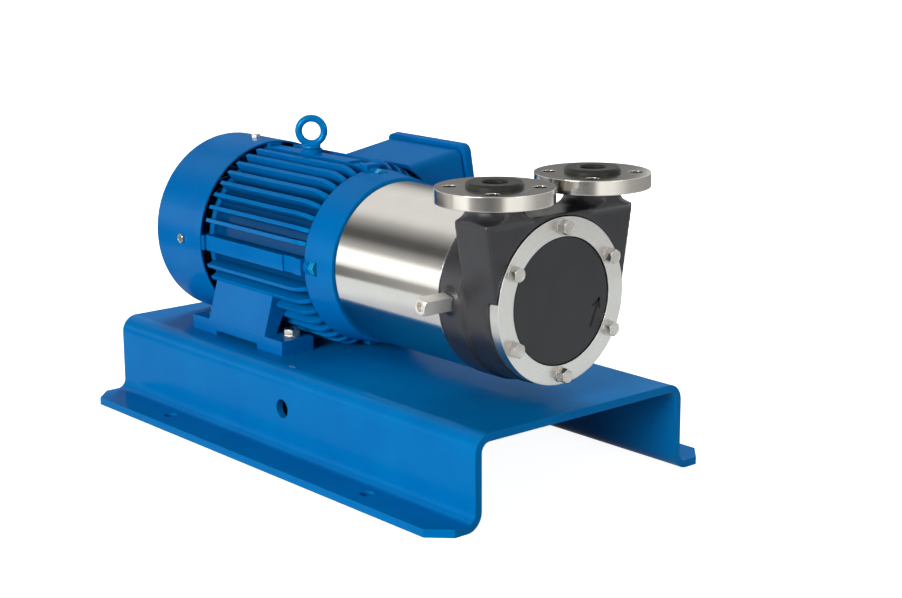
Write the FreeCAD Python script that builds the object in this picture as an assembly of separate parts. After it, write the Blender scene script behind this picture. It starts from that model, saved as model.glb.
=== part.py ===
import FreeCAD, Part
import math
import os

V = FreeCAD.Vector
ORIGIN = V(0, 0, 0)
ALONG_Y = V(0, 1, 0)
UP = V(0, 0, 1)
QUARTERS = (0, 90, 180, 270)

# Magnetic drive pump on a bent sheet base. Lengths are in mm and angles in degrees.
# The pump and motor turn about a line along Y. The front cover faces -Y and the fan cowl +Y.
# Pump and motor pieces are drawn about the Y axis through the origin, then raised to the shaft line.

# Fits and clearances
SEAT_FIT = 0.02          # radial, pieces fixed on each other
RUNNING_FIT = 0.05       # radial, bearing bush on shaft
HOLE_CLEARANCE = 0.5     # radial, bolt in a plain hole
FACE_GAP = 0.5           # between a turning face and a fixed one
LINER_GAP = 0.1          # radial, lining in its casting
BASE_GAP = 1.5           # between the base's top and what hangs over it
OVERCUT = 1.0            # how far a cut runs past the face it opens

# Proportions of hexagon heads and nuts, as multiples of the thread radius
HEAD_HEIGHT = 1.3
HEAD_FLATS = 3.25

# Baseplate, a hat section bent from one sheet
BASE_LENGTH = 617.0
BASE_WIDTH = 368.0
BASE_TOP_WIDTH = 276.6
BASE_HEIGHT = 92.0
BASE_SHEET = 8.0
BEND_INSIDE = 10.0
BASE_CORNER_CUT = 20.6
FOUNDATION_HOLE_R = 7.0
FOUNDATION_SPACING_X = 322.0
FOUNDATION_SPACING_Y = 351.0
LIFTING_HOLE_R = 10.0
LIFTING_HOLE_Y = -5.0
LIFTING_HOLE_Z = 51.0

# Motor of frame size 100: shaft height, foot bolt spacings, shaft shoulder to first bolt
SHAFT_HEIGHT = 100.0
FOOT_SPACING_X = 160.0
FOOT_SPACING_Y = 140.0
SHOULDER_TO_FOOT = 63.0
SHOULDER_Y = -7.0
SHAFT_END_R = 14.0
SHAFT_END_LENGTH = 60.0

# Motor frame casting
FRAME_FROM_SHOULDER = 19.0
FRAME_LENGTH = 176.0
FRAME_ROOT_R = 85.0
FRAME_BORE_R = 75.0
FIN_R = 101.0
FIN_START_R = 93.5
FIN_ROUND_LENGTH = 22.0
FINS_PER_QUARTER = 8
FIN_PITCH = 8.6
FIN_ROOT_WIDTH = 5.4
FIN_TIP_WIDTH = 4.0
BOSS_WIDTH = 17.0
LUG_LENGTH = 12.0
LUG_RELIEF_LENGTH = 20.0
LUG_RELIEF_R = 96.0
SHIELD_BOLT_CIRCLE_R = 87.0
LUG_R = 8.2
SHIELD_BOLT_R = 4.0
SHIELD_BOLT_TAIL = 13.0

# Motor feet
FOOT_OUTER_X = 104.0
FOOT_TO_COWL = 2.2
FOOT_PAD_HEIGHT = 15.5
FOOT_PAD_OVERHANG = 15.0
FOOT_RECESS_HEIGHT = 5.0
FOOT_RECESS_LENGTH = 78.0
LEG_TOP_X = 91.5
LEG_TOP_HEIGHT = 58.0
LEG_THICKNESS = 16.0
LEG_LENGTH = 106.0
FOOT_BOLT_R = 5.0
FOOT_WASHER_THICKNESS = 2.0
FOOT_BOLT_END = 4.0

# Drive end shield, tapered from the frame to the lantern
SHIELD_BACK_R = 93.0
SHIELD_FRONT_R = 88.5
SHIELD_FRONT_LENGTH = 22.0
SHIELD_RIM_BORE_R = 76.0
SHIELD_MOUTH_R = 62.0
SHIELD_FLANGE = 12.0
SHIELD_WEB = 10.0
SHIELD_LUG_LENGTH = 6.5
SPIGOT_LENGTH = 6.0
SPIGOT_WALL = 6.0

# Motor bearings, the same size at both ends
BEARING_OUTER_R = 31.0
BEARING_BORE_R = 15.0
BEARING_WIDTH = 16.0
BEARING_RING_WALL = 5.0
BEARING_COVER = 2.0
BEARING_HUB_R = 38.0
BEARING_FROM_SHOULDER = 12.0
BEARING_FROM_FRAME_BACK = 2.0
SHAFT_HOLE_GAP = 1.5

# Motor core
AIR_GAP = 0.5
ROTOR_R = 44.5
CORE_LENGTH = 112.0
CORE_FROM_FRAME = 34.0
WINDING_LENGTH = 21.0
WINDING_OUTER_R = 70.0
WINDING_INNER_R = 49.0
CORE_SEAT_R = 19.0
END_RING_OUTER_R = 40.5
END_RING_INNER_R = 29.0
END_RING_LENGTH = 9.0

# Key and fan clip on the motor shaft
KEY_WIDTH = 8.0
KEY_HEIGHT = 7.0
KEY_DEPTH = 4.0
KEY_FROM_TIP = 6.0
KEY_FROM_SHOULDER = 9.0
CLIP_WIDTH = 1.3
CLIP_GROOVE_DEPTH = 0.7
CLIP_HEIGHT = 3.0

# Fan end
FAN_SHIELD_PLATE = 8.0
FAN_SHIELD_OVERHANG = 4.0
FAN_SHIELD_BOLT_R = 3.0
FAN_SHIELD_BOLT_DEPTH = 12.0
FAN_SEAT_R = 12.0
FAN_SEAT_FROM_BEARING = 4.0
FAN_SEAT_LENGTH = 46.0
FAN_FROM_SHIELD = 10.0
COWL_GAP = 5.0
COWL_LENGTH = 91.0
COWL_R = 103.5
COWL_SHEET = 2.0
COWL_CORNER_R = 5.0
COWL_SCREW_FROM_EDGE = 35.0
COWL_SCREW_R = 3.0
COWL_SCREW_LENGTH = 11.0
COWL_SCREW_ANGLES = (0, 90, 180)
COWL_ARM_WIDTH = 16.0
GRILLE_RINGS = 5
GRILLE_FIRST_R = 22.0
GRILLE_PITCH = 11.0
GRILLE_SLOT = 6.0
GRILLE_SPOKES = 8
GRILLE_SPOKE_WIDTH = 6.0
FAN_BLADES = 9
FAN_R = 82.0
FAN_HUB_R = 22.0
FAN_DISC = 3.0
FAN_BLADE = 3.0
FAN_DEPTH = 24.0

# Eyebolt on the frame's top boss
EYE_Y = 121.0
EYE_BOSS_HEIGHT = 1.8
EYE_COLLAR_R = 10.0
EYE_COLLAR_HEIGHT = 4.0
EYE_BOSS_MARGIN = 2.0
EYE_SINK = 2.3
EYE_RING_R = 14.0
EYE_WIRE_R = 4.0
EYE_TURN = -40.0
EYE_SHANK_R = 4.0
EYE_SHANK_LENGTH = 14.0

# Terminal box on the frame's +X side, tilted so that its lid looks slightly upwards
BOX_TILT = 9.2
BOX_START_Y = 19.0
BOX_LENGTH = 125.6
BOX_BOTTOM = -30.0
BOX_TOP = 78.2
BOX_INNER_X = 73.5
BOX_OUTER_X = 143.4
BOX_WALL = 5.0
BOX_CORNER_R = 9.0
BOX_FIN_GAP = 2.0
BOX_SEAT_X = 106.0
BOX_SEAT_LENGTH = 80.0
BOX_SEAT_WIDTH = 60.0
LEAD_HOLE_R = 14.0
LEAD_HOLE_DROP = 12.0
GASKET_THICKNESS = 1.6
GASKET_INSET = 1.5
LID_THICKNESS = 11.1
LID_LIP = 4.2
LID_CORNER_R = 9.0
LID_EDGE_R = 2.5
LID_HOLLOW = 6.0
LID_SCREW_R = 2.5
LID_SCREW_DEPTH = 12.0
LID_POST_R = 7.5
LID_POST_OVERLAP = 2.0
ENTRY_R = 12.5
ENTRY_SPACING = 50.0
ENTRY_THREAD = 8.0
ENTRY_FLATS = 30.0
CABLE_R = 6.25
GLAND_BODY = 7.0
GLAND_NUT = 12.0
GLAND_NUT_END_R = 8.75
PLUG_HEAD = 5.0
BOARD_THICKNESS = 10.0
BOARD_LENGTH = 70.0
BOARD_WIDTH = 42.0
BOARD_RISE = 2.0
STUD_R = 2.5
STUD_LENGTH = 14.0

# Lantern, the plain tube between motor and pump
LANTERN_LENGTH = 166.0
LANTERN_R = 86.0
LANTERN_WALL = 5.0
LANTERN_FLANGE = 12.0
LANTERN_FLANGE_BORE_R = 62.0
LANTERN_BOLT_CIRCLE_R = 70.0
LANTERN_BOLT_R = 4.0
LANTERN_BOLTS = 4

# Pump casing
CASING_REAR_R = 87.0
CASING_REAR_LENGTH = 35.0
CASING_FRONT_R = 84.0
BLOCK_BACK_TO_RING_SEAT = 35.8
BLOCK_TOP = 86.0
BLOCK_TOP_HALF_WIDTH = 97.0
BLOCK_SHOULDER_R = 2.5
FRONT_LIP_START = 7.0
NOZZLE_SPACING = 128.4
NOZZLE_FROM_RING_SEAT = 13.2
NECK_R = 27.5
NECK_FLARE_R = 10.0
NECK_TOP_R = 25.0
FLANGE_UNDERSIDE = 102.0
CAVITY_R = 67.8
THROAT_R = 24.0
PORT_LINER_DEPTH = 42.0
PASSAGE_R = 10.0
PASSAGE_END_RISE = 12.5

# Loose flanges and port liners
FLANGE_R = 57.5
FLANGE_THICKNESS = 14.0
FLANGE_BORE_GAP = 0.4
FLANGE_HOLE_CIRCLE_R = 42.5
FLANGE_HOLE_R = 7.0
FLANGE_BOLTS = 4
PORT_R = 12.5
PORT_LINER_WALL = 3.0
PORT_FACE_R = 28.0
PORT_FACE_HEIGHT = 5.0
PORT_FACE_CHAMFER = 2.0
PORT_MOUTH_R = 3.0

# Retaining ring and front cover
RING_R = 82.5
RING_BORE_R = 63.5
RING_THICKNESS = 12.0
RING_RECESS_GAP = 0.3
RING_BOLTS = 6
RING_BOLT_CIRCLE_R = 73.0
RING_BOLT_R = 4.0
RING_BOLT_LENGTH = 20.0
RING_WASHER_R = 8.0
RING_WASHER_THICKNESS = 1.6
COVER_FACE_R = 63.0
COVER_INSET = 1.0
COVER_SPIGOT_R = 67.5
COVER_SPIGOT_LENGTH = 11.8
COVER_CHAMFER = 1.0
SHAFT_SOCKET_DEPTH = 8.0
SEAL_WIDTH = 3.0
SEAL_DEPTH = 2.5
SEAL_FROM_SEAT = 4.0

# Square stub in the casing's side
STUB_SIDE = 14.0
STUB_TURN = 12.0
STUB_X = -124.0
STUB_Y_FROM_CASING_BACK = 18.0
STUB_RISE = 2.5
STUB_END_R = 7.6
STUB_TAPER = 6.0
STUB_BORE_R = 4.5
STUB_BORE_DEPTH = 6.0
STUB_SOCKET_X = -76.0
STUB_BOSS_FOOT_R = 16.0
STUB_BOSS_R = 10.5
STUB_BOSS_HEIGHT = 7.0
STUB_BOSS_SINK = 4.0

# Wet end
LINER_WALL = 7.5
IMPELLER_R = 60.0
IMPELLER_THICKNESS = 12.0
VANES = 24
VANE_DEPTH = 4.0
VANE_LENGTH = 11.0
VANE_GAP_WIDTH = 8.0
CHANNEL_INNER_R = 46.0
CHANNEL_OUTER_R = 64.0
CHANNEL_DEPTH = 4.0
STRIPPER_ANGLE = 60.0
WET_SHAFT_R = 9.0
BUSH_WALL = 5.0
BUSH_LENGTH = 28.0
THRUST_RING_R = 15.0
THRUST_RING_THICKNESS = 3.0

# Magnetic coupling, from the inside out
INNER_DRUM_R = 49.0
INNER_NECK_R = 20.0
NECK_GAP = 2.0
SHELL_BORE_R = 50.5
SHELL_WALL = 3.0
SHELL_FLANGE_R = 76.0
SHELL_FLANGE = 8.0
SHELL_END_WALL = 4.0
SHELL_CORNER = 8.0
SHELL_BOSS = 12.0
SHELL_SOCKET_FLOOR = 2.0
SHELL_END_GAP = 7.0
BUSH_STANDOUT = 1.0
MAGNETS = 12
MAGNET_THICKNESS = 6.0
MAGNET_GAP = 3.0
MAGNET_COVER = 1.5
MAGNET_END_COVER = 3.0
OUTER_CUP_INNER_R = 62.0
CUP_TO_LANTERN_FLANGE = 11.5
OUTER_CUP_WALL = 6.0
OUTER_CUP_DISC = 10.0
OUTER_DISC_FROM_TIP = 21.0
OUTER_HUB_R = 26.0
OUTER_HUB_GAP = 7.0
SET_SCREW_R = 3.0
SET_SCREW_INSET = 1.0
CASING_BOLT_CIRCLE_R = 70.0
CASING_BOLT_R = 3.0
CASING_BOLTS = 6
CASING_BOLT_DEPTH = 14.0

# Places worked out from the sizes above
AXIS_Z = BASE_HEIGHT + SHAFT_HEIGHT
FRAME_WALL_MIDDLE_R = (FRAME_ROOT_R + FRAME_BORE_R) / 2
FOOT_PAD_DROP = SHAFT_HEIGHT - FOOT_PAD_HEIGHT
FOOT_INNER_X = math.sqrt(COWL_R ** 2 - FOOT_PAD_DROP ** 2) + FOOT_TO_COWL
SHAFT_TIP = SHOULDER_Y - SHAFT_END_LENGTH
FRAME_FRONT = SHOULDER_Y + FRAME_FROM_SHOULDER
FRAME_BACK = FRAME_FRONT + FRAME_LENGTH
FOOT_BOLT_FRONT = SHOULDER_Y + SHOULDER_TO_FOOT
FOOT_BOLT_YS = (FOOT_BOLT_FRONT, FOOT_BOLT_FRONT + FOOT_SPACING_Y)
FOOT_MIDDLE_Y = sum(FOOT_BOLT_YS) / 2
FOOT_BOLTS_XY = [(side * FOOT_SPACING_X / 2, y) for side in (-1, 1) for y in FOOT_BOLT_YS]
SHIELD_FRONT = SHOULDER_Y - SHIELD_FRONT_LENGTH
SHIELD_LUG_FACE = FRAME_FRONT - SHIELD_LUG_LENGTH
DRIVE_BEARING_FRONT = SHOULDER_Y + BEARING_FROM_SHOULDER
DRIVE_BEARING_BACK = DRIVE_BEARING_FRONT + BEARING_WIDTH
FAN_BEARING_BACK = FRAME_BACK - BEARING_FROM_FRAME_BACK
FAN_BEARING_FRONT = FAN_BEARING_BACK - BEARING_WIDTH
CORE_FRONT = FRAME_FRONT + CORE_FROM_FRAME
CORE_BACK = CORE_FRONT + CORE_LENGTH
FAN_SHIELD_BACK = FRAME_BACK + FAN_SHIELD_PLATE
FAN_SEAT_FRONT = FAN_BEARING_BACK + FAN_SEAT_FROM_BEARING
FAN_SEAT_BACK = FAN_SEAT_FRONT + FAN_SEAT_LENGTH
FAN_FRONT = FAN_SHIELD_BACK + FAN_FROM_SHIELD
FAN_BACK = FAN_FRONT + FAN_DEPTH
COWL_FRONT = FRAME_BACK + COWL_GAP
COWL_BACK = COWL_FRONT + COWL_LENGTH
COWL_SCREW_Y = COWL_FRONT + COWL_SCREW_FROM_EDGE
BOX_MIDDLE_Y = BOX_START_Y + BOX_LENGTH / 2
LEAD_HOLE_Z = (BOX_BOTTOM + BOX_TOP) / 2 - LEAD_HOLE_DROP
BOX_FLOOR_X = BOX_SEAT_X + BOX_WALL
BOX_Y = (BOX_START_Y, BOX_START_Y + BOX_LENGTH)
BOX_Z = (BOX_BOTTOM, BOX_TOP)
LID_INNER_X = BOX_OUTER_X + GASKET_THICKNESS
LID_OUTER_X = LID_INNER_X + LID_THICKNESS

LANTERN_BACK = SHIELD_FRONT
CASING_BACK = LANTERN_BACK - LANTERN_LENGTH
BLOCK_BACK = CASING_BACK - CASING_REAR_LENGTH
RING_SEAT = BLOCK_BACK - BLOCK_BACK_TO_RING_SEAT
RING_FACE = RING_SEAT - RING_THICKNESS
COVER_FACE = RING_FACE + COVER_INSET
COVER_LINER_FRONT = RING_SEAT + COVER_SPIGOT_LENGTH
COVER_LINER_FACE = COVER_LINER_FRONT + LINER_WALL
IMPELLER_FRONT = COVER_LINER_FACE + FACE_GAP
IMPELLER_BACK = IMPELLER_FRONT + IMPELLER_THICKNESS
LINER_FACE = IMPELLER_BACK + FACE_GAP
LINER_BACK = LINER_FACE + LINER_WALL
SHELL_FRONT = CASING_BACK - SHELL_FLANGE
NOZZLE_Y = RING_SEAT + NOZZLE_FROM_RING_SEAT
FLANGE_TOP = FLANGE_UNDERSIDE + FLANGE_THICKNESS
PORT_BOTTOM = FLANGE_UNDERSIDE - PORT_LINER_DEPTH
RING_HEAD_SEAT = RING_FACE - RING_WASHER_THICKNESS
RING_BOLT_TIP = RING_HEAD_SEAT + RING_BOLT_LENGTH
CASING_BOLT_TIP = SHELL_FRONT - CASING_BOLT_DEPTH
SHAFT_SOCKET_FLOOR = COVER_LINER_FRONT - SHAFT_SOCKET_DEPTH
OUTER_DISC_FRONT = SHAFT_TIP - OUTER_DISC_FROM_TIP
OUTER_HUB_BACK = SHOULDER_Y - OUTER_HUB_GAP
SHELL_END = OUTER_DISC_FRONT - SHELL_END_GAP
SHELL_END_INNER = SHELL_END - SHELL_END_WALL
SHELL_BOSS_FRONT = SHELL_END_INNER - SHELL_BOSS
REAR_BUSH_BACK = SHELL_BOSS_FRONT - THRUST_RING_THICKNESS - FACE_GAP
DRUM_BACK = REAR_BUSH_BACK - BUSH_STANDOUT
MAGNETS_BACK = DRUM_BACK - MAGNET_END_COVER
DRUM_FRONT = CASING_BACK + LANTERN_FLANGE + CUP_TO_LANTERN_FLANGE
MAGNETS_FRONT = DRUM_FRONT + MAGNET_END_COVER


# Shapes that several pieces use

def turning(u, v):
    """A point of an outline that is turned about the pump axis: radius, then place along Y."""
    return V(u, v, 0)


def outline(corners, place):
    """A flat face from (u, v, corner radius) corners, set in space by place(u, v)."""
    bends = []
    for index, (u, v, radius) in enumerate(corners):
        here = V(u, v, 0)
        if radius == 0:
            bends.append((here, None, here))
            continue
        before = corners[index - 1]
        after = corners[(index + 1) % len(corners)]
        back = (V(before[0], before[1], 0) - here).normalize()
        ahead = (V(after[0], after[1], 0) - here).normalize()
        half_angle = back.getAngle(ahead) / 2
        middle = (back + ahead).normalize()
        run = radius / math.tan(half_angle)
        top = here + middle * (radius / math.sin(half_angle) - radius)
        bends.append((here + back * run, top, here + ahead * run))
    edges = []
    for index, (start, top, end) in enumerate(bends):
        if top is not None:
            edges.append(Part.Arc(*[place(p.x, p.y) for p in (start, top, end)]).toShape())
        following = bends[(index + 1) % len(bends)][0]
        if end.distanceToPoint(following) > 1e-6:
            edges.append(Part.makeLine(place(end.x, end.y), place(following.x, following.y)))
    return Part.Face(Part.Wire(edges))


def revolved(corners):
    """A turned piece from its (radius, y) half section; a third value rounds that corner."""
    full = [corner if len(corner) == 3 else corner + (0,) for corner in corners]
    return outline(full, turning).revolve(ORIGIN, ALONG_Y, 360)


def rod(radius, start, end):
    return Part.makeCylinder(radius, end - start, V(0, start, 0), ALONG_Y)


def ring(outer, inner, start, end):
    return revolved([(inner, start), (outer, start), (outer, end), (inner, end)])


def rod_at(x, z, radius, start, end):
    """A rod along Y whose centre line passes through x and z."""
    return Part.makeCylinder(radius, end - start, V(x, start, z), ALONG_Y)


def block(x_range, y_range, z_range):
    sizes = [high - low for low, high in (x_range, y_range, z_range)]
    return Part.makeBox(*sizes, V(x_range[0], y_range[0], z_range[0]))


def prism_along_y(corners, start, end):
    """An (x, z, corner radius) outline extruded from start to end along Y."""
    face = outline(corners, lambda x, z: V(x, start, z))
    return face.extrude(V(0, end - start, 0))


def rounded_block(x_range, y_range, z_range, radius):
    """A block whose four edges along X are rounded."""
    (low_y, high_y), (low_z, high_z) = y_range, z_range
    corners = [(y, z, radius) for y, z in
               ((low_y, low_z), (high_y, low_z), (high_y, high_z), (low_y, high_z))]
    face = outline(corners, lambda y, z: V(x_range[0], y, z))
    return face.extrude(V(x_range[1] - x_range[0], 0, 0))


def turned(shape, angle):
    """A copy turned about the pump axis: a piece at +X goes to that angle, with 90 on top."""
    copy = shape.copy()
    copy.rotate(ORIGIN, ALONG_Y, -angle)
    return copy


def all_round(shape, angles):
    return [turned(shape, angle) for angle in angles]


def even_angles(count, first=0.0):
    return [first + index * 360.0 / count for index in range(count)]


def grown(length_range, margin):
    return (length_range[0] - margin, length_range[1] + margin)


def hexagon(across_flats, height):
    """A hexagonal prism that stands on the origin along Z."""
    radius = across_flats / math.sqrt(3)
    points = [V(radius * math.cos(math.radians(60 * n)), radius * math.sin(math.radians(60 * n)), 0)
              for n in range(7)]
    return Part.Face(Part.makePolygon(points)).extrude(V(0, 0, height))


def hex_head(thread_r):
    return hexagon(HEAD_FLATS * thread_r, HEAD_HEIGHT * thread_r)


def hex_bolt(thread_r, length):
    """A bolt along Z: its head stands on z = 0 and its shank hangs below."""
    shank = Part.makeCylinder(thread_r - SEAT_FIT, length, V(0, 0, -length))
    return hex_head(thread_r).fuse(shank)


def aimed(shape, position, direction):
    """A copy whose Z axis points along direction, with its origin at position."""
    copy = shape.copy()
    copy.Placement = FreeCAD.Placement(position, FreeCAD.Rotation(UP, direction))
    return copy


def group(shapes):
    return Part.makeCompound(shapes)


def save(node, shape, height=AXIS_Z):
    """Raises a piece to its height and writes it as one file."""
    os.makedirs("parts", exist_ok=True)
    placed = shape.copy()
    placed.translate(V(0, 0, height))
    placed.exportStep("parts/" + node + ".step")


# Base and motor castings

def baseplate():
    """A hat section bent from one sheet, with foot flanges, chamfered corners and bolt holes."""
    outer_x = BASE_WIDTH / 2
    web_x = BASE_TOP_WIDTH / 2
    outside = BEND_INSIDE + BASE_SHEET
    half = [(outer_x, 0, 0), (outer_x, BASE_SHEET, 0), (web_x, BASE_SHEET, BEND_INSIDE),
            (web_x, BASE_HEIGHT, outside)]
    under = [(web_x - BASE_SHEET, BASE_HEIGHT - BASE_SHEET, BEND_INSIDE), (web_x - BASE_SHEET, 0, outside)]
    mirrored_half = [(-x, z, r) for x, z, r in reversed(half)]
    mirrored_under = [(-x, z, r) for x, z, r in under]
    corners = half + mirrored_half + mirrored_under[::-1] + under
    sheet = prism_along_y(corners, -BASE_LENGTH / 2, BASE_LENGTH / 2)
    depth = BASE_SHEET + 2 * OVERCUT
    cuts = []
    for side_x in (-1, 1):
        for side_y in (-1, 1):
            x, y = side_x * outer_x, side_y * BASE_LENGTH / 2
            corner = Part.makePolygon([V(x, y, -OVERCUT), V(x - side_x * BASE_CORNER_CUT, y, -OVERCUT),
                                       V(x, y - side_y * BASE_CORNER_CUT, -OVERCUT), V(x, y, -OVERCUT)])
            cuts.append(Part.Face(corner).extrude(UP * depth))
            centre = V(side_x * FOUNDATION_SPACING_X / 2, side_y * FOUNDATION_SPACING_Y / 2, -OVERCUT)
            cuts.append(Part.makeCylinder(FOUNDATION_HOLE_R, depth, centre))
    for x, y in FOOT_BOLTS_XY:
        bottom = V(x, y, BASE_HEIGHT - BASE_SHEET - OVERCUT)
        cuts.append(Part.makeCylinder(FOOT_BOLT_R + HOLE_CLEARANCE, depth, bottom))
    start = V(-web_x - OVERCUT, LIFTING_HOLE_Y, LIFTING_HOLE_Z)
    cuts.append(Part.makeCylinder(LIFTING_HOLE_R, BASE_TOP_WIDTH + 2 * OVERCUT, start, V(1, 0, 0)))
    return sheet.cut(cuts)


def rib_envelope():
    """The space that fins and bosses may fill: swept round at the drive end, square at the other."""
    round_r = (FIN_ROUND_LENGTH ** 2 + (FIN_R - FIN_START_R) ** 2) / (2 * (FIN_R - FIN_START_R))
    half_angle = math.asin(FIN_ROUND_LENGTH / round_r) / 2
    middle = V(FIN_R - round_r * (1 - math.cos(half_angle)),
               FRAME_FRONT + FIN_ROUND_LENGTH - round_r * math.sin(half_angle), 0)
    start = V(FIN_START_R, FRAME_FRONT, 0)
    end = V(FIN_R, FRAME_FRONT + FIN_ROUND_LENGTH, 0)
    rest = [end, V(FIN_R, FRAME_BACK, 0), V(FRAME_WALL_MIDDLE_R, FRAME_BACK, 0),
            V(FRAME_WALL_MIDDLE_R, FRAME_FRONT, 0), start]
    edges = [Part.Arc(start, middle, end).toShape()]
    edges += [Part.makeLine(rest[n], rest[n + 1]) for n in range(len(rest) - 1)]
    return Part.Face(Part.Wire(edges)).revolve(ORIGIN, ALONG_Y, 360)


def fins():
    """Tapered radial fins, set evenly about the middle of each quarter, inside their envelope."""
    tip = FIN_R + OVERCUT
    corners = [(FRAME_WALL_MIDDLE_R, -FIN_ROOT_WIDTH / 2, 0), (tip, -FIN_TIP_WIDTH / 2, 0),
               (tip, FIN_TIP_WIDTH / 2, 0), (FRAME_WALL_MIDDLE_R, FIN_ROOT_WIDTH / 2, 0)]
    fin = prism_along_y(corners, FRAME_FRONT, FRAME_BACK).common(rib_envelope())
    first = 45 - FIN_PITCH * (FINS_PER_QUARTER - 1) / 2
    angles = [quarter + first + FIN_PITCH * n for quarter in QUARTERS for n in range(FINS_PER_QUARTER)]
    return all_round(fin, angles)


def lug(start, end):
    """A rounded ear for one end shield bolt, at +X."""
    root = block((FRAME_WALL_MIDDLE_R, SHIELD_BOLT_CIRCLE_R), (start, end), (-LUG_R, LUG_R))
    return root.fuse(rod_at(SHIELD_BOLT_CIRCLE_R, 0, LUG_R, start, end))


def frame_boss():
    """A wide boss at +X, cut down behind the lug so that the bolt's tail lies free."""
    width = (-BOSS_WIDTH / 2, BOSS_WIDTH / 2)
    full = block((FRAME_WALL_MIDDLE_R, FIN_R), (FRAME_FRONT, FRAME_BACK), width)
    boss = full.common(rod(SHAFT_HEIGHT - BASE_GAP, FRAME_FRONT, FRAME_BACK))
    relief = (FRAME_FRONT + LUG_LENGTH, FRAME_FRONT + LUG_LENGTH + LUG_RELIEF_LENGTH)
    boss = boss.cut(block((LUG_RELIEF_R, FIN_R + OVERCUT), relief, grown(width, OVERCUT)))
    return boss.fuse(lug(FRAME_FRONT, FRAME_FRONT + LUG_LENGTH))


def foot(side):
    """A foot: bolt pad with a relieved underside, and a leg that leans in to the frame."""
    length = (FOOT_BOLT_YS[0] - FOOT_PAD_OVERHANG, FOOT_BOLT_YS[1] + FOOT_PAD_OVERHANG)
    pad_top = FOOT_PAD_HEIGHT - SHAFT_HEIGHT
    pad = block((FOOT_INNER_X, FOOT_OUTER_X), length, (-SHAFT_HEIGHT, pad_top))
    half_recess = FOOT_RECESS_LENGTH / 2
    pad = pad.cut(block(grown((FOOT_INNER_X, FOOT_OUTER_X), OVERCUT),
                        (FOOT_MIDDLE_Y - half_recess, FOOT_MIDDLE_Y + half_recess),
                        (-SHAFT_HEIGHT - OVERCUT, FOOT_RECESS_HEIGHT - SHAFT_HEIGHT)))
    leg_top = LEG_TOP_HEIGHT - SHAFT_HEIGHT
    root_x = math.sqrt(FRAME_WALL_MIDDLE_R ** 2 - leg_top ** 2)
    leg_foot = pad_top - OVERCUT
    corners = [(FOOT_OUTER_X, leg_foot, 0), (LEG_TOP_X, leg_top, 0), (root_x, leg_top, 0),
               (FOOT_OUTER_X - LEG_THICKNESS, leg_foot, 0)]
    leg = prism_along_y(corners, FOOT_MIDDLE_Y - LEG_LENGTH / 2, FOOT_MIDDLE_Y + LEG_LENGTH / 2)
    whole = pad.fuse(leg)
    for y in FOOT_BOLT_YS:
        bottom = V(FOOT_SPACING_X / 2, y, -SHAFT_HEIGHT - OVERCUT)
        hole = Part.makeCylinder(FOOT_BOLT_R + 2 * HOLE_CLEARANCE, FOOT_PAD_HEIGHT + 2 * OVERCUT, bottom)
        whole = whole.cut(hole)
    if side < 0:
        whole = whole.mirror(ORIGIN, V(1, 0, 0))
    return whole


def box_seat():
    """The pad on the frame's side that carries the terminal box, with the hole for the leads."""
    y_range = grown((BOX_MIDDLE_Y, BOX_MIDDLE_Y), BOX_SEAT_LENGTH / 2)
    z_range = grown((LEAD_HOLE_Z, LEAD_HOLE_Z), BOX_SEAT_WIDTH / 2)
    start_x = math.sqrt(FRAME_BORE_R ** 2 - max(abs(z) for z in z_range) ** 2)
    seat = block((start_x, BOX_SEAT_X), y_range, z_range)
    lead_hole = Part.makeCylinder(LEAD_HOLE_R, FIN_R, V(0, BOX_MIDDLE_Y, LEAD_HOLE_Z), V(1, 0, 0))
    return turned(seat, BOX_TILT), turned(lead_hole, BOX_TILT)


def motor_frame():
    tube = rod(FRAME_ROOT_R, FRAME_FRONT, FRAME_BACK)
    seat, lead_hole = box_seat()
    boss_top = FIN_R + EYE_BOSS_HEIGHT
    eye_boss = Part.makeCylinder(EYE_COLLAR_R + EYE_BOSS_MARGIN, boss_top - FRAME_WALL_MIDDLE_R,
                                 V(0, EYE_Y, FRAME_WALL_MIDDLE_R))
    ribs = fins() + all_round(frame_boss(), QUARTERS) + [foot(-1), foot(1), seat, eye_boss]
    casting = tube.multiFuse(ribs)
    cuts = [rod(FRAME_BORE_R, FRAME_FRONT - OVERCUT, FRAME_BACK + OVERCUT), lead_hole]
    cuts.append(Part.makeCylinder(EYE_SHANK_R, EYE_SHANK_LENGTH + OVERCUT, V(0, EYE_Y, boss_top - EYE_SHANK_LENGTH)))
    lug_hole = rod_at(SHIELD_BOLT_CIRCLE_R, 0, SHIELD_BOLT_R, FRAME_FRONT - OVERCUT,
                      FRAME_FRONT + LUG_LENGTH + LUG_RELIEF_LENGTH)
    fan_hole = rod_at(FRAME_WALL_MIDDLE_R, 0, FAN_SHIELD_BOLT_R, FRAME_BACK - FAN_SHIELD_BOLT_DEPTH,
                      FRAME_BACK + OVERCUT)
    cuts += all_round(lug_hole, QUARTERS) + all_round(fan_hole, even_angles(4, 45))
    return casting.cut(cuts)


# Motor end shields, cowl and running gear

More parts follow.
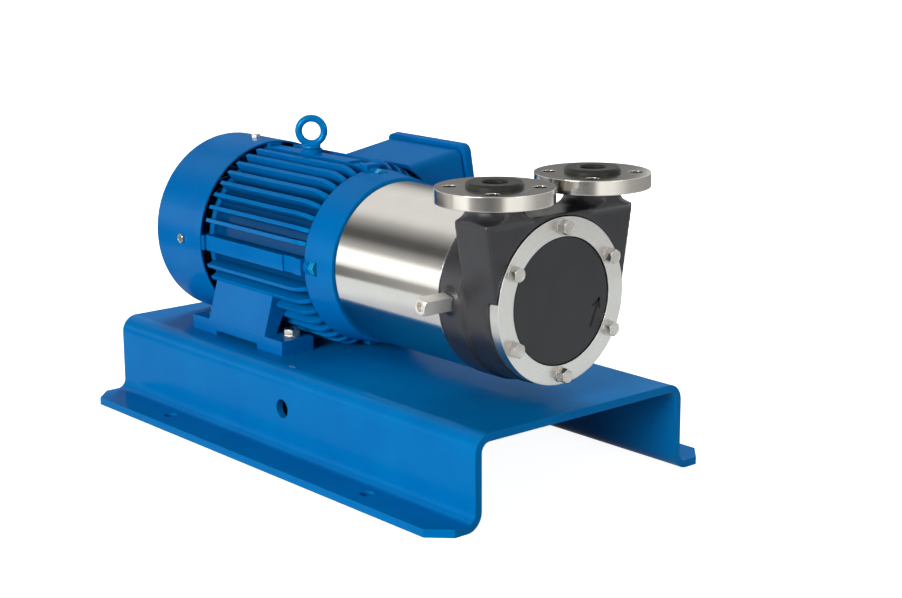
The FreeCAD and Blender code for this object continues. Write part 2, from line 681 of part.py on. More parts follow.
def drive_end_shield():
    """A tapered shell with a bearing hub, a spigot into the frame and four lugs let into its rim."""
    shaft_hole = BEARING_BORE_R + SHAFT_HOLE_GAP
    web_back = SHOULDER_Y + SHIELD_WEB
    spigot_r = FRAME_BORE_R - SEAT_FIT
    bore_r = spigot_r - SPIGOT_WALL
    shell = revolved([
        (SHIELD_MOUTH_R, SHIELD_FRONT), (SHIELD_FRONT_R, SHIELD_FRONT), (SHIELD_BACK_R, FRAME_FRONT),
        (spigot_r, FRAME_FRONT), (spigot_r, FRAME_FRONT + SPIGOT_LENGTH),
        (bore_r, FRAME_FRONT + SPIGOT_LENGTH), (bore_r, web_back), (BEARING_HUB_R, web_back),
        (BEARING_HUB_R, DRIVE_BEARING_BACK), (BEARING_OUTER_R, DRIVE_BEARING_BACK),
        (BEARING_OUTER_R, DRIVE_BEARING_FRONT), (shaft_hole, DRIVE_BEARING_FRONT),
        (shaft_hole, SHOULDER_Y), (SHIELD_RIM_BORE_R, SHOULDER_Y),
        (SHIELD_RIM_BORE_R, SHIELD_FRONT + SHIELD_FLANGE), (SHIELD_MOUTH_R, SHIELD_FRONT + SHIELD_FLANGE)])
    shell = shell.multiFuse(all_round(lug(SHIELD_LUG_FACE, FRAME_FRONT), QUARTERS))
    pocket = rod_at(SHIELD_BOLT_CIRCLE_R, 0, LUG_R, SHIELD_LUG_FACE - LUG_LENGTH, SHIELD_LUG_FACE)
    hole = rod_at(SHIELD_BOLT_CIRCLE_R, 0, SHIELD_BOLT_R, SHIELD_LUG_FACE - OVERCUT,
                  FRAME_FRONT + OVERCUT)
    cuts = all_round(pocket, QUARTERS) + all_round(hole, QUARTERS)
    lantern_hole = rod_at(LANTERN_BOLT_CIRCLE_R, 0, LANTERN_BOLT_R, SHIELD_FRONT - OVERCUT,
                          SHIELD_FRONT + SHIELD_FLANGE + OVERCUT)
    return shell.cut(cuts + all_round(lantern_hole, even_angles(LANTERN_BOLTS, 45)))


def fan_end_shield():
    """A plate with a bearing hub and spigot inside and arms that carry the cowl."""
    spigot_r = FRAME_BORE_R - SEAT_FIT
    shaft_hole = BEARING_BORE_R + SHAFT_HOLE_GAP
    plate_r = FRAME_ROOT_R + FAN_SHIELD_OVERHANG
    plate = revolved([
        (shaft_hole, FAN_BEARING_BACK), (shaft_hole, FAN_SHIELD_BACK), (plate_r, FAN_SHIELD_BACK),
        (plate_r, FRAME_BACK), (spigot_r, FRAME_BACK), (spigot_r, FRAME_BACK - SPIGOT_LENGTH),
        (spigot_r - SPIGOT_WALL, FRAME_BACK - SPIGOT_LENGTH), (spigot_r - SPIGOT_WALL, FRAME_BACK),
        (BEARING_HUB_R, FRAME_BACK), (BEARING_HUB_R, FAN_BEARING_FRONT),
        (BEARING_OUTER_R, FAN_BEARING_FRONT), (BEARING_OUTER_R, FAN_BEARING_BACK)])
    arm = block((FRAME_ROOT_R, COWL_R), (FRAME_BACK + OVERCUT, COWL_SCREW_Y + COWL_ARM_WIDTH / 2),
                (-COWL_ARM_WIDTH / 2, COWL_ARM_WIDTH / 2))
    arm = arm.common(rod(COWL_R - COWL_SHEET - SEAT_FIT, FRAME_BACK, COWL_BACK))
    shield = plate.multiFuse(all_round(arm, COWL_SCREW_ANGLES))
    screw_hole = Part.makeCylinder(COWL_SCREW_R, COWL_SCREW_LENGTH, V(COWL_R - COWL_SCREW_LENGTH, COWL_SCREW_Y, 0),
                                   V(1, 0, 0))
    bolt_hole = rod_at(FRAME_WALL_MIDDLE_R, 0, FAN_SHIELD_BOLT_R, FRAME_BACK - OVERCUT, FAN_SHIELD_BACK + OVERCUT)
    return shield.cut(all_round(screw_hole, COWL_SCREW_ANGLES) + all_round(bolt_hole, even_angles(4, 45)))


def cowl_form(radius, back, corner_r, bottom):
    """The solid form of the cowl's outside or inside, with a flat that keeps it clear of the base."""
    form = revolved([(0, COWL_FRONT), (radius, COWL_FRONT), (radius, back, corner_r), (0, back)])
    return form.common(block((-radius, radius), (COWL_FRONT, back), (-bottom, radius)))


def fan_cowl():
    """A drawn sheet cover with a rounded rear edge and a grille of arc slots between spokes."""
    inner_r, inner_back = COWL_R - COWL_SHEET, COWL_BACK - COWL_SHEET
    bottom = SHAFT_HEIGHT - BASE_GAP
    cover = cowl_form(COWL_R, COWL_BACK, COWL_CORNER_R, bottom)
    cover = cover.cut(cowl_form(inner_r, inner_back, COWL_CORNER_R - COWL_SHEET, bottom - COWL_SHEET))
    across = (inner_back - OVERCUT, COWL_BACK + OVERCUT)
    bar = block((-COWL_R, COWL_R), across, (-GRILLE_SPOKE_WIDTH / 2, GRILLE_SPOKE_WIDTH / 2))
    spokes = [turned(bar, angle) for angle in even_angles(GRILLE_SPOKES)[:GRILLE_SPOKES // 2]]
    slots = []
    for n in range(GRILLE_RINGS):
        middle = GRILLE_FIRST_R + n * GRILLE_PITCH
        slots.append(ring(middle + GRILLE_SLOT / 2, middle - GRILLE_SLOT / 2, *across).cut(spokes))
    screw_hole = Part.makeCylinder(COWL_SCREW_R + HOLE_CLEARANCE, COWL_SCREW_LENGTH,
                                   V(inner_r - OVERCUT, COWL_SCREW_Y, 0), V(1, 0, 0))
    return cover.cut(slots + all_round(screw_hole, COWL_SCREW_ANGLES))


def motor_shaft():
    """A stepped shaft: keyed end, bearing seats, core seat and fan seat with a clip groove."""
    seat = BEARING_BORE_R - SEAT_FIT
    chamfer = SHAFT_END_R - CLIP_WIDTH
    groove_back = FAN_BACK + CLIP_WIDTH + 2 * SEAT_FIT
    groove_r = FAN_SEAT_R - CLIP_GROOVE_DEPTH
    shaft = revolved([
        (0, SHAFT_TIP), (chamfer, SHAFT_TIP), (SHAFT_END_R, SHAFT_TIP + CLIP_WIDTH), (SHAFT_END_R, SHOULDER_Y),
        (seat, SHOULDER_Y), (seat, DRIVE_BEARING_BACK), (CORE_SEAT_R, DRIVE_BEARING_BACK),
        (CORE_SEAT_R, FAN_BEARING_FRONT), (seat, FAN_BEARING_FRONT), (seat, FAN_SEAT_FRONT),
        (FAN_SEAT_R, FAN_SEAT_FRONT), (FAN_SEAT_R, FAN_BACK), (groove_r, FAN_BACK), (groove_r, groove_back),
        (FAN_SEAT_R, groove_back), (FAN_SEAT_R, FAN_SEAT_BACK), (0, FAN_SEAT_BACK)])
    return shaft.cut(key_block(SEAT_FIT))


def key_block(margin):
    """The key in the shaft end, half let into the shaft."""
    bottom = SHAFT_END_R - KEY_DEPTH
    half = KEY_WIDTH / 2
    return block(grown((bottom, bottom + KEY_HEIGHT), margin),
                 grown((SHAFT_TIP + KEY_FROM_TIP, SHOULDER_Y - KEY_FROM_SHOULDER), margin),
                 grown((-half, half), margin))


def bearing_outer(front):
    """A sealed bearing's outer ring with its side covers, open to the inner ring."""
    outer = BEARING_OUTER_R - SEAT_FIT
    cover_r = BEARING_BORE_R + BEARING_RING_WALL + FACE_GAP
    race_r = outer - BEARING_RING_WALL
    back = front + BEARING_WIDTH
    return revolved([(cover_r, front), (outer, front), (outer, back), (cover_r, back),
                     (cover_r, back - BEARING_COVER), (race_r, back - BEARING_COVER),
                     (race_r, front + BEARING_COVER), (cover_r, front + BEARING_COVER)])


def bearing_inner(front):
    return ring(BEARING_BORE_R + BEARING_RING_WALL, BEARING_BORE_R, front, front + BEARING_WIDTH)


def windings():
    """The two end turns that stand out of the stator core."""
    return group([ring(WINDING_OUTER_R, WINDING_INNER_R, CORE_FRONT - WINDING_LENGTH, CORE_FRONT),
                  ring(WINDING_OUTER_R, WINDING_INNER_R, CORE_BACK, CORE_BACK + WINDING_LENGTH)])


def rotor_core():
    """The laminated core with its two cast end rings."""
    outer, inner = END_RING_OUTER_R, END_RING_INNER_R
    front, back = CORE_FRONT - END_RING_LENGTH, CORE_BACK + END_RING_LENGTH
    return revolved([(CORE_SEAT_R, CORE_FRONT), (inner, CORE_FRONT), (inner, front), (outer, front),
                     (outer, CORE_FRONT), (ROTOR_R, CORE_FRONT), (ROTOR_R, CORE_BACK), (outer, CORE_BACK),
                     (outer, back), (inner, back), (inner, CORE_BACK), (CORE_SEAT_R, CORE_BACK)])


def cooling_fan():
    """A disc with a hub and straight radial blades, which blows the same either way."""
    root = FAN_HUB_R - OVERCUT
    hub = ring(FAN_HUB_R, FAN_SEAT_R, FAN_FRONT, FAN_BACK)
    disc = ring(FAN_R, root, FAN_FRONT, FAN_FRONT + FAN_DISC)
    blade = block((root, FAN_R), (FAN_FRONT + FAN_DISC / 2, FAN_BACK), (-FAN_BLADE / 2, FAN_BLADE / 2))
    return hub.multiFuse([disc] + all_round(blade, even_angles(FAN_BLADES)))


def fan_clip():
    front = FAN_BACK + SEAT_FIT
    inner = FAN_SEAT_R - CLIP_GROOVE_DEPTH + SEAT_FIT
    return ring(FAN_SEAT_R + CLIP_HEIGHT, inner, front, front + CLIP_WIDTH)


def eyebolt():
    """A lifting eye: collar, ring that faces across the motor, and a shank down into the frame."""
    base = FIN_R + EYE_BOSS_HEIGHT
    collar = Part.makeCylinder(EYE_COLLAR_R, EYE_COLLAR_HEIGHT, V(0, EYE_Y, base))
    shank = Part.makeCylinder(EYE_SHANK_R - SEAT_FIT, EYE_SHANK_LENGTH, V(0, EYE_Y, base - EYE_SHANK_LENGTH))
    centre_z = base + EYE_COLLAR_HEIGHT + EYE_RING_R + EYE_WIRE_R - EYE_SINK
    eye = Part.makeTorus(EYE_RING_R, EYE_WIRE_R, V(0, EYE_Y, centre_z), ALONG_Y)
    eye.rotate(V(0, EYE_Y, 0), UP, EYE_TURN)
    return collar.multiFuse([shank, eye])


# Terminal box, drawn with its lid facing +X and then tilted

def box_shell():
    """The box: walls that follow the fins at the back, a floor on the frame's seat, two cable entries."""
    shell = rounded_block((BOX_INNER_X, BOX_OUTER_X), BOX_Y, BOX_Z, BOX_CORNER_R)
    inside = (grown(BOX_Y, -BOX_WALL), grown(BOX_Z, -BOX_WALL), BOX_CORNER_R - BOX_WALL)
    cavity = rounded_block((BOX_FLOOR_X, BOX_OUTER_X + OVERCUT), *inside)
    behind = rounded_block((BOX_INNER_X - OVERCUT, BOX_SEAT_X), *inside)
    saddle = rod(FIN_R + BOX_FIN_GAP, BOX_Y[0] - OVERCUT, BOX_Y[1] + OVERCUT)
    floor_hole = Part.makeCylinder(LEAD_HOLE_R, 2 * BOX_WALL, V(BOX_SEAT_X - OVERCUT, BOX_MIDDLE_Y, LEAD_HOLE_Z),
                                   V(1, 0, 0))
    shell = shell.cut([cavity, behind, saddle, floor_hole])
    posts = [Part.makeCylinder(LID_POST_R, BOX_OUTER_X - BOX_FLOOR_X + OVERCUT, V(BOX_FLOOR_X - OVERCUT, y, z),
                               V(1, 0, 0)) for y, z in lid_screw_places()]
    depth = LID_SCREW_DEPTH + OVERCUT
    holes = [Part.makeCylinder(LID_SCREW_R, depth, V(BOX_OUTER_X - LID_SCREW_DEPTH, y, z), V(1, 0, 0))
             for y, z in lid_screw_places()]
    holes += [Part.makeCylinder(ENTRY_R, 2 * BOX_WALL, V(x, y, BOX_BOTTOM - OVERCUT)) for x, y in entry_places()]
    return shell.multiFuse(posts).cut(holes)


def lid_screw_places():
    inset = BOX_WALL + LID_POST_R - LID_POST_OVERLAP
    return [(y, z) for y in grown(BOX_Y, -inset) for z in grown(BOX_Z, -inset)]


def entry_places():
    x = BOX_OUTER_X - BOX_WALL - ENTRY_R
    return [(x, BOX_MIDDLE_Y - ENTRY_SPACING / 2), (x, BOX_MIDDLE_Y + ENTRY_SPACING / 2)]


def box_gasket():
    x_range = (BOX_OUTER_X, LID_INNER_X)
    full = rounded_block(x_range, grown(BOX_Y, -GASKET_INSET), grown(BOX_Z, -GASKET_INSET),
                         BOX_CORNER_R - GASKET_INSET)
    opening = rounded_block(grown(x_range, OVERCUT), grown(BOX_Y, -BOX_WALL), grown(BOX_Z, -BOX_WALL),
                            BOX_CORNER_R - BOX_WALL)
    holes = [Part.makeCylinder(LID_SCREW_R, GASKET_THICKNESS, V(BOX_OUTER_X, y, z), V(1, 0, 0))
             for y, z in lid_screw_places()]
    return full.cut([opening] + holes)


def box_lid():
    """A cast lid with an overhanging lip, rounded outer edges and a hollow inner side."""
    y_range, z_range = grown(BOX_Y, LID_LIP), grown(BOX_Z, LID_LIP)
    lid = rounded_block((LID_INNER_X, LID_OUTER_X), y_range, z_range, LID_CORNER_R)
    outer_edges = [edge for edge in lid.Edges if edge.BoundBox.XMin > LID_OUTER_X - SEAT_FIT]
    lid = lid.makeFillet(LID_EDGE_R, outer_edges)
    inset = LID_LIP + BOX_WALL + 2 * LID_POST_R
    hollow = rounded_block((LID_INNER_X - OVERCUT, LID_INNER_X + LID_HOLLOW), grown(y_range, -inset),
                           grown(z_range, -inset), BOX_WALL)
    holes = [Part.makeCylinder(LID_SCREW_R + HOLE_CLEARANCE, 2 * LID_THICKNESS, V(LID_INNER_X - OVERCUT, y, z),
                               V(1, 0, 0)) for y, z in lid_screw_places()]
    return lid.cut([hollow] + holes)


def lid_screws():
    screw = hex_bolt(LID_SCREW_R, LID_THICKNESS + GASKET_THICKNESS + LID_SCREW_DEPTH)
    return group([aimed(screw, V(LID_OUTER_X, y, z), V(1, 0, 0)) for y, z in lid_screw_places()])


def entry_plug(head_height):
    """A threaded plug with a hexagon head, which stands below the box on z = 0."""
    thread = Part.makeCylinder(ENTRY_R - SEAT_FIT, ENTRY_THREAD, V(0, 0, -ENTRY_THREAD))
    return hexagon(ENTRY_FLATS, head_height).fuse(thread)


def cable_gland():
    """An empty gland in the first entry: thread, hexagon and a tapered clamp nut with a bore."""
    x, y = entry_places()[0]
    nut = Part.makeCone(ENTRY_R, GLAND_NUT_END_R, GLAND_NUT, V(0, 0, GLAND_BODY))
    bore = Part.makeCylinder(CABLE_R, ENTRY_THREAD + GLAND_BODY + GLAND_NUT, V(0, 0, -ENTRY_THREAD))
    return aimed(entry_plug(GLAND_BODY).fuse(nut).cut(bore), V(x, y, BOX_BOTTOM), V(0, 0, -1))


def blanking_plug():
    x, y = entry_places()[1]
    return aimed(entry_plug(PLUG_HEAD), V(x, y, BOX_BOTTOM), V(0, 0, -1))


def board_range():
    """The board's lower and upper edge, above the leads' hole."""
    start = LEAD_HOLE_Z + LEAD_HOLE_R + BOARD_RISE
    return (start, start + BOARD_WIDTH)


def terminal_board():
    return block((BOX_FLOOR_X, BOX_FLOOR_X + BOARD_THICKNESS),
                 grown((BOX_MIDDLE_Y, BOX_MIDDLE_Y), BOARD_LENGTH / 2), board_range())


def terminal_studs():
    """Six studs in two rows of three, for the supply leads."""
    low, high = board_range()
    rows = [low + (high - low) * share for share in (0.25, 0.75)]
    stud = Part.makeCylinder(STUD_R, STUD_LENGTH)
    return group([aimed(stud, V(BOX_FLOOR_X + BOARD_THICKNESS, BOX_MIDDLE_Y + step * BOARD_LENGTH / 3, z),
                        V(1, 0, 0)) for step in (-1, 0, 1) for z in rows])


# Lantern and magnetic coupling

def lantern():
    """A plain tube with an inward flange at each end."""
    bore = LANTERN_R - LANTERN_WALL
    tube = revolved([
        (LANTERN_FLANGE_BORE_R, CASING_BACK), (LANTERN_R, CASING_BACK), (LANTERN_R, LANTERN_BACK),
        (LANTERN_FLANGE_BORE_R, LANTERN_BACK), (LANTERN_FLANGE_BORE_R, LANTERN_BACK - LANTERN_FLANGE),
        (bore, LANTERN_BACK - LANTERN_FLANGE), (bore, CASING_BACK + LANTERN_FLANGE),
        (LANTERN_FLANGE_BORE_R, CASING_BACK + LANTERN_FLANGE)])
    back_hole = rod_at(LANTERN_BOLT_CIRCLE_R, 0, LANTERN_BOLT_R, LANTERN_BACK - LANTERN_FLANGE - OVERCUT,
                       LANTERN_BACK + OVERCUT)
    front_hole = rod_at(CASING_BOLT_CIRCLE_R, 0, CASING_BOLT_R, CASING_BACK - OVERCUT,
                        CASING_BACK + LANTERN_FLANGE + OVERCUT)
    holes = all_round(back_hole, even_angles(LANTERN_BOLTS, 45)) + all_round(front_hole, even_angles(CASING_BOLTS))
    return tube.cut(holes)


def magnet_ring(inner, outer):
    """A ring of magnets: one ring cut into equal blocks by narrow gaps."""
    gap = block((0, 2 * outer), (MAGNETS_FRONT - OVERCUT, MAGNETS_BACK + OVERCUT),
                (-MAGNET_GAP / 2, MAGNET_GAP / 2))
    whole = ring(outer, inner, MAGNETS_FRONT, MAGNETS_BACK)
    return group(whole.cut(all_round(gap, even_angles(MAGNETS))).Solids)


def outer_magnet_carrier():
    """A cup keyed to the motor shaft, open towards the pump."""
    bore = SHAFT_END_R + SEAT_FIT
    outer = OUTER_CUP_INNER_R + OUTER_CUP_WALL
    disc_back = OUTER_DISC_FRONT + OUTER_CUP_DISC
    bore_end = SHAFT_TIP - FACE_GAP
    cup = revolved([
        (0, OUTER_DISC_FRONT), (OUTER_CUP_INNER_R, OUTER_DISC_FRONT), (OUTER_CUP_INNER_R, DRUM_FRONT),
        (outer, DRUM_FRONT), (outer, disc_back), (OUTER_HUB_R, disc_back), (OUTER_HUB_R, OUTER_HUB_BACK),
        (bore, OUTER_HUB_BACK), (bore, bore_end), (0, bore_end)])
    half = KEY_WIDTH / 2 + SEAT_FIT
    keyway = block((0, SHAFT_END_R - KEY_DEPTH + KEY_HEIGHT + HOLE_CLEARANCE), (SHAFT_TIP, OUTER_HUB_BACK + OVERCUT),
                   (-half, half))
    screw_hole = Part.makeCylinder(SET_SCREW_R, OUTER_HUB_R, V(0, set_screw_y(), 0), V(-1, 0, 0))
    return cup.cut([keyway, screw_hole])


def set_screw_y():
    """The middle of the carrier's hub."""
    return (OUTER_DISC_FRONT + OUTER_CUP_DISC + OUTER_HUB_BACK) / 2


def carrier_set_screw():
    """A headless screw in the hub that presses on the shaft."""
    start = SHAFT_END_R
    length = OUTER_HUB_R - SET_SCREW_INSET - start
    return Part.makeCylinder(SET_SCREW_R - SEAT_FIT, length, V(-start, set_screw_y(), 0), V(-1, 0, 0))


def containment_shell():
    """The thin can between the two magnet rings: flange, tube, closed end and a socket for the shaft."""
    outer = SHELL_BORE_R + SHELL_WALL
    socket_r = WET_SHAFT_R + SEAT_FIT
    socket_end = SHELL_END - SHELL_SOCKET_FLOOR
    can = revolved([
        (SHELL_BORE_R, SHELL_FRONT), (SHELL_FLANGE_R, SHELL_FRONT), (SHELL_FLANGE_R, CASING_BACK),
        (outer, CASING_BACK), (outer, SHELL_END - SHELL_CORNER), (outer - SHELL_CORNER, SHELL_END),
        (0, SHELL_END), (0, socket_end), (socket_r, socket_end), (socket_r, SHELL_BOSS_FRONT),
        (THRUST_RING_R, SHELL_BOSS_FRONT), (THRUST_RING_R, SHELL_END_INNER),
        (SHELL_BORE_R - SHELL_CORNER, SHELL_END_INNER), (SHELL_BORE_R, SHELL_END_INNER - SHELL_CORNER)])
    hole = rod_at(CASING_BOLT_CIRCLE_R, 0, CASING_BOLT_R, SHELL_FRONT - OVERCUT, CASING_BACK + OVERCUT)
    return can.cut(all_round(hole, even_angles(CASING_BOLTS)))


def inner_magnet_carrier():
    """A sealed drum with a neck that drives the impeller; its magnets lie in a closed pocket."""
    bore = WET_SHAFT_R + BUSH_WALL + SEAT_FIT
    drum = revolved([
        (bore, IMPELLER_BACK), (INNER_NECK_R, IMPELLER_BACK), (INNER_NECK_R, DRUM_FRONT),
        (INNER_DRUM_R, DRUM_FRONT), (INNER_DRUM_R, DRUM_BACK), (bore, DRUM_BACK)])
    outer = INNER_DRUM_R - MAGNET_COVER
    return drum.cut(ring(outer, outer - MAGNET_THICKNESS, MAGNETS_FRONT, MAGNETS_BACK))


def bearing_bushes():
    outer = WET_SHAFT_R + BUSH_WALL
    bore = WET_SHAFT_R + RUNNING_FIT
    return group([ring(outer, bore, IMPELLER_FRONT, IMPELLER_FRONT + BUSH_LENGTH),
                  ring(outer, bore, REAR_BUSH_BACK - BUSH_LENGTH, REAR_BUSH_BACK)])


def thrust_rings():
    """Fixed rings that the bushes run against, one in the cover liner and one on the shell's boss."""
    bore = WET_SHAFT_R + SEAT_FIT
    return group([ring(THRUST_RING_R, bore, COVER_LINER_FACE - THRUST_RING_THICKNESS, COVER_LINER_FACE),
                  ring(THRUST_RING_R, bore, SHELL_BOSS_FRONT - THRUST_RING_THICKNESS, SHELL_BOSS_FRONT)])


# Pump wet end

def stripper(start, end):
    """The sector at the top that parts the discharge from the suction."""
    reach = 2 * CHANNEL_OUTER_R
    half = math.radians(STRIPPER_ANGLE / 2)
    corners = [(0, 0, 0), (reach * math.sin(half), reach * math.cos(half), 0),
               (-reach * math.sin(half), reach * math.cos(half), 0)]
    return prism_along_y(corners, start, end)


def channel(start, end):
    """The space of the side channel, which the stripper interrupts between the nozzles."""
    whole = ring(CHANNEL_OUTER_R, CHANNEL_INNER_R, start, end)
    return whole.cut(stripper(start - OVERCUT, end + OVERCUT))


def passage(side):
    """The slanting way from a nozzle's bore into the side channel."""
    start = V(side * NOZZLE_SPACING / 2, NOZZLE_Y, PORT_BOTTOM)
    end = V(side * (CHANNEL_INNER_R + CHANNEL_OUTER_R) / 2, (IMPELLER_FRONT + IMPELLER_BACK) / 2, PASSAGE_END_RISE)
    return Part.makeCylinder(PASSAGE_R, start.distanceToPoint(end), start, end - start)


def casing_liner():
    """The moulded lining of the casing's back wall and rim, with the stripper standing at the top."""
    cup = ring(CAVITY_R - LINER_GAP, INNER_NECK_R + NECK_GAP, COVER_LINER_FACE, LINER_BACK)
    wheel_space = rod(IMPELLER_R + FACE_GAP, COVER_LINER_FACE - OVERCUT, LINER_FACE)
    side_space = channel(COVER_LINER_FACE - OVERCUT, LINER_FACE + CHANNEL_DEPTH)
    return cup.cut([wheel_space, side_space, passage(-1), passage(1)])


def cover_liner():
    """The lining disc of the front cover, with the other half of the side channel."""
    disc = rod(CAVITY_R - LINER_GAP, COVER_LINER_FRONT, COVER_LINER_FACE)
    recess = rod(THRUST_RING_R + SEAT_FIT, COVER_LINER_FACE - THRUST_RING_THICKNESS, COVER_LINER_FACE + OVERCUT)
    shaft_hole = rod(WET_SHAFT_R + SEAT_FIT, COVER_LINER_FRONT - OVERCUT, COVER_LINER_FACE)
    side_space = channel(COVER_LINER_FACE - CHANNEL_DEPTH, COVER_LINER_FACE + OVERCUT)
    return disc.cut([recess, shaft_hole, side_space, passage(-1), passage(1)])


def impeller():
    """A solid wheel with short vanes milled into both rims, set half a pitch apart."""
    wheel = ring(IMPELLER_R, WET_SHAFT_R + BUSH_WALL + SEAT_FIT, IMPELLER_FRONT, IMPELLER_BACK)
    half = VANE_GAP_WIDTH / 2
    reach = (IMPELLER_R - VANE_LENGTH, IMPELLER_R + OVERCUT)
    front = block(reach, (IMPELLER_FRONT - OVERCUT, IMPELLER_FRONT + VANE_DEPTH), (-half, half))
    back = block(reach, (IMPELLER_BACK - VANE_DEPTH, IMPELLER_BACK + OVERCUT), (-half, half))
    return wheel.cut(all_round(front, even_angles(VANES)) + all_round(back, even_angles(VANES, 180.0 / VANES)))


def casing_block():
    """The part that carries the nozzles: flared sides, rounded shoulders, a lip round the ring's top."""
    start_x = math.sqrt(CASING_FRONT_R ** 2 - FRONT_LIP_START ** 2)
    half = BLOCK_TOP_HALF_WIDTH
    corners = [(-start_x, FRONT_LIP_START, 0), (start_x, FRONT_LIP_START, 0),
               (half, BLOCK_TOP, BLOCK_SHOULDER_R), (-half, BLOCK_TOP, BLOCK_SHOULDER_R)]
    front = RING_FACE + COVER_INSET / 2
    recess = rod(RING_R + RING_RECESS_GAP, front - OVERCUT, RING_SEAT)
    return prism_along_y(corners, front, BLOCK_BACK).cut(recess)


def neck(side):
    """A nozzle's neck, swept out into the block below and stepped in to pass through its flange."""
    base = BLOCK_TOP - BLOCK_SHOULDER_R
    sweep = NECK_FLARE_R
    foot_r = NECK_R + sweep
    centre = V(foot_r, 0, BLOCK_TOP + sweep)
    middle = centre + V(-math.cos(math.pi / 4), 0, -math.sin(math.pi / 4)) * sweep
    sweep_ends = V(foot_r, 0, BLOCK_TOP), V(NECK_R, 0, BLOCK_TOP + sweep)
    lower = [V(0, 0, base), V(foot_r, 0, base), sweep_ends[0]]
    upper = [sweep_ends[1], V(NECK_R, 0, FLANGE_UNDERSIDE), V(NECK_TOP_R, 0, FLANGE_UNDERSIDE),
             V(NECK_TOP_R, 0, FLANGE_TOP), V(0, 0, FLANGE_TOP), V(0, 0, base)]
    edges = [Part.makeLine(start, end) for points in (lower, upper) for start, end in zip(points, points[1:])]
    edges.insert(len(lower) - 1, Part.Arc(sweep_ends[0], middle, sweep_ends[1]).toShape())
    turned_neck = Part.Face(Part.Wire(edges)).revolve(ORIGIN, UP, 360)
    turned_neck.translate(V(side * NOZZLE_SPACING / 2, NOZZLE_Y, 0))
    limits = block((-BLOCK_TOP_HALF_WIDTH, BLOCK_TOP_HALF_WIDTH), (NOZZLE_Y - NECK_R, BLOCK_BACK),
                   (base - OVERCUT, FLANGE_TOP + OVERCUT))
    return turned_neck.common(limits)


def pump_casing():
    """The coated casting: rear rim, round body, nozzle block and necks, bored for liner and shell."""
    body = rod(CASING_REAR_R, BLOCK_BACK, CASING_BACK)
    solid = body.multiFuse([rod(CASING_FRONT_R, RING_SEAT, BLOCK_BACK), casing_block(), neck(-1), neck(1),
                            stub_boss()])
    cuts = [rod(CAVITY_R, RING_SEAT - OVERCUT, LINER_BACK),
            rod(THROAT_R, LINER_BACK - OVERCUT, SHELL_FRONT + OVERCUT),
            rod(SHELL_FLANGE_R + SEAT_FIT, SHELL_FRONT, CASING_BACK + OVERCUT), passage(-1), passage(1)]
    for side in (-1, 1):
        start = V(side * NOZZLE_SPACING / 2, NOZZLE_Y, PORT_BOTTOM)
        cuts.append(Part.makeCylinder(PORT_R + PORT_LINER_WALL, FLANGE_TOP, start))
    ring_hole = rod_at(RING_BOLT_CIRCLE_R, 0, RING_BOLT_R, RING_SEAT - OVERCUT, RING_BOLT_TIP)
    shell_hole = rod_at(CASING_BOLT_CIRCLE_R, 0, CASING_BOLT_R, CASING_BOLT_TIP, SHELL_FRONT + OVERCUT)
    cuts += all_round(ring_hole, ring_bolt_angles()) + all_round(shell_hole, even_angles(CASING_BOLTS))
    return solid.cut(cuts + [stub_bar(LINER_GAP)])


def stub_boss():
    """A low cone on the casing's side that the stub comes out of."""
    foot = V(STUB_BOSS_SINK - CASING_REAR_R, CASING_BACK - STUB_Y_FROM_CASING_BACK, STUB_RISE)
    return Part.makeCone(STUB_BOSS_FOOT_R, STUB_BOSS_R, STUB_BOSS_HEIGHT, foot, V(-1, 0, 0))


def ring_bolt_angles():
    return even_angles(RING_BOLTS, 30)


def stub_bar(margin):
    """The square bar as it lies in the casing's side, before its end is turned."""
    sides = grown((-STUB_SIDE / 2, STUB_SIDE / 2), margin)
    bar = block((STUB_X, STUB_SOCKET_X), sides, sides)
    bar.rotate(ORIGIN, V(1, 0, 0), STUB_TURN)
    bar.translate(V(0, CASING_BACK - STUB_Y_FROM_CASING_BACK, STUB_RISE))
    return bar


def side_stub():
    """A square bar with a turned end and a blind bore."""
    end = V(STUB_X, CASING_BACK - STUB_Y_FROM_CASING_BACK, STUB_RISE)
    along = V(1, 0, 0)
    tip = Part.makeCone(STUB_END_R, STUB_SIDE, STUB_TAPER, end, along)
    rest = Part.makeCylinder(STUB_SIDE, STUB_SOCKET_X - STUB_X - STUB_TAPER, end + along * STUB_TAPER, along)
    bore = Part.makeCylinder(STUB_BORE_R, STUB_BORE_DEPTH, end, along)
    return stub_bar(0).common(tip.fuse(rest)).cut(bore)


def loose_flange(side):
    """A drilled ring that sits on the neck's shoulder, free to turn when it is unbolted."""
    centre = V(side * NOZZLE_SPACING / 2, NOZZLE_Y, FLANGE_UNDERSIDE)
    plate = Part.makeCylinder(FLANGE_R, FLANGE_THICKNESS, centre)
    cuts = [Part.makeCylinder(NECK_TOP_R + FLANGE_BORE_GAP, FLANGE_THICKNESS, centre)]
    for angle in even_angles(FLANGE_BOLTS, 180.0 / FLANGE_BOLTS):
        offset = V(math.cos(math.radians(angle)), math.sin(math.radians(angle)), 0) * FLANGE_HOLE_CIRCLE_R
        cuts.append(Part.makeCylinder(FLANGE_HOLE_R, FLANGE_THICKNESS, centre + offset))
    return plate.cut(cuts)


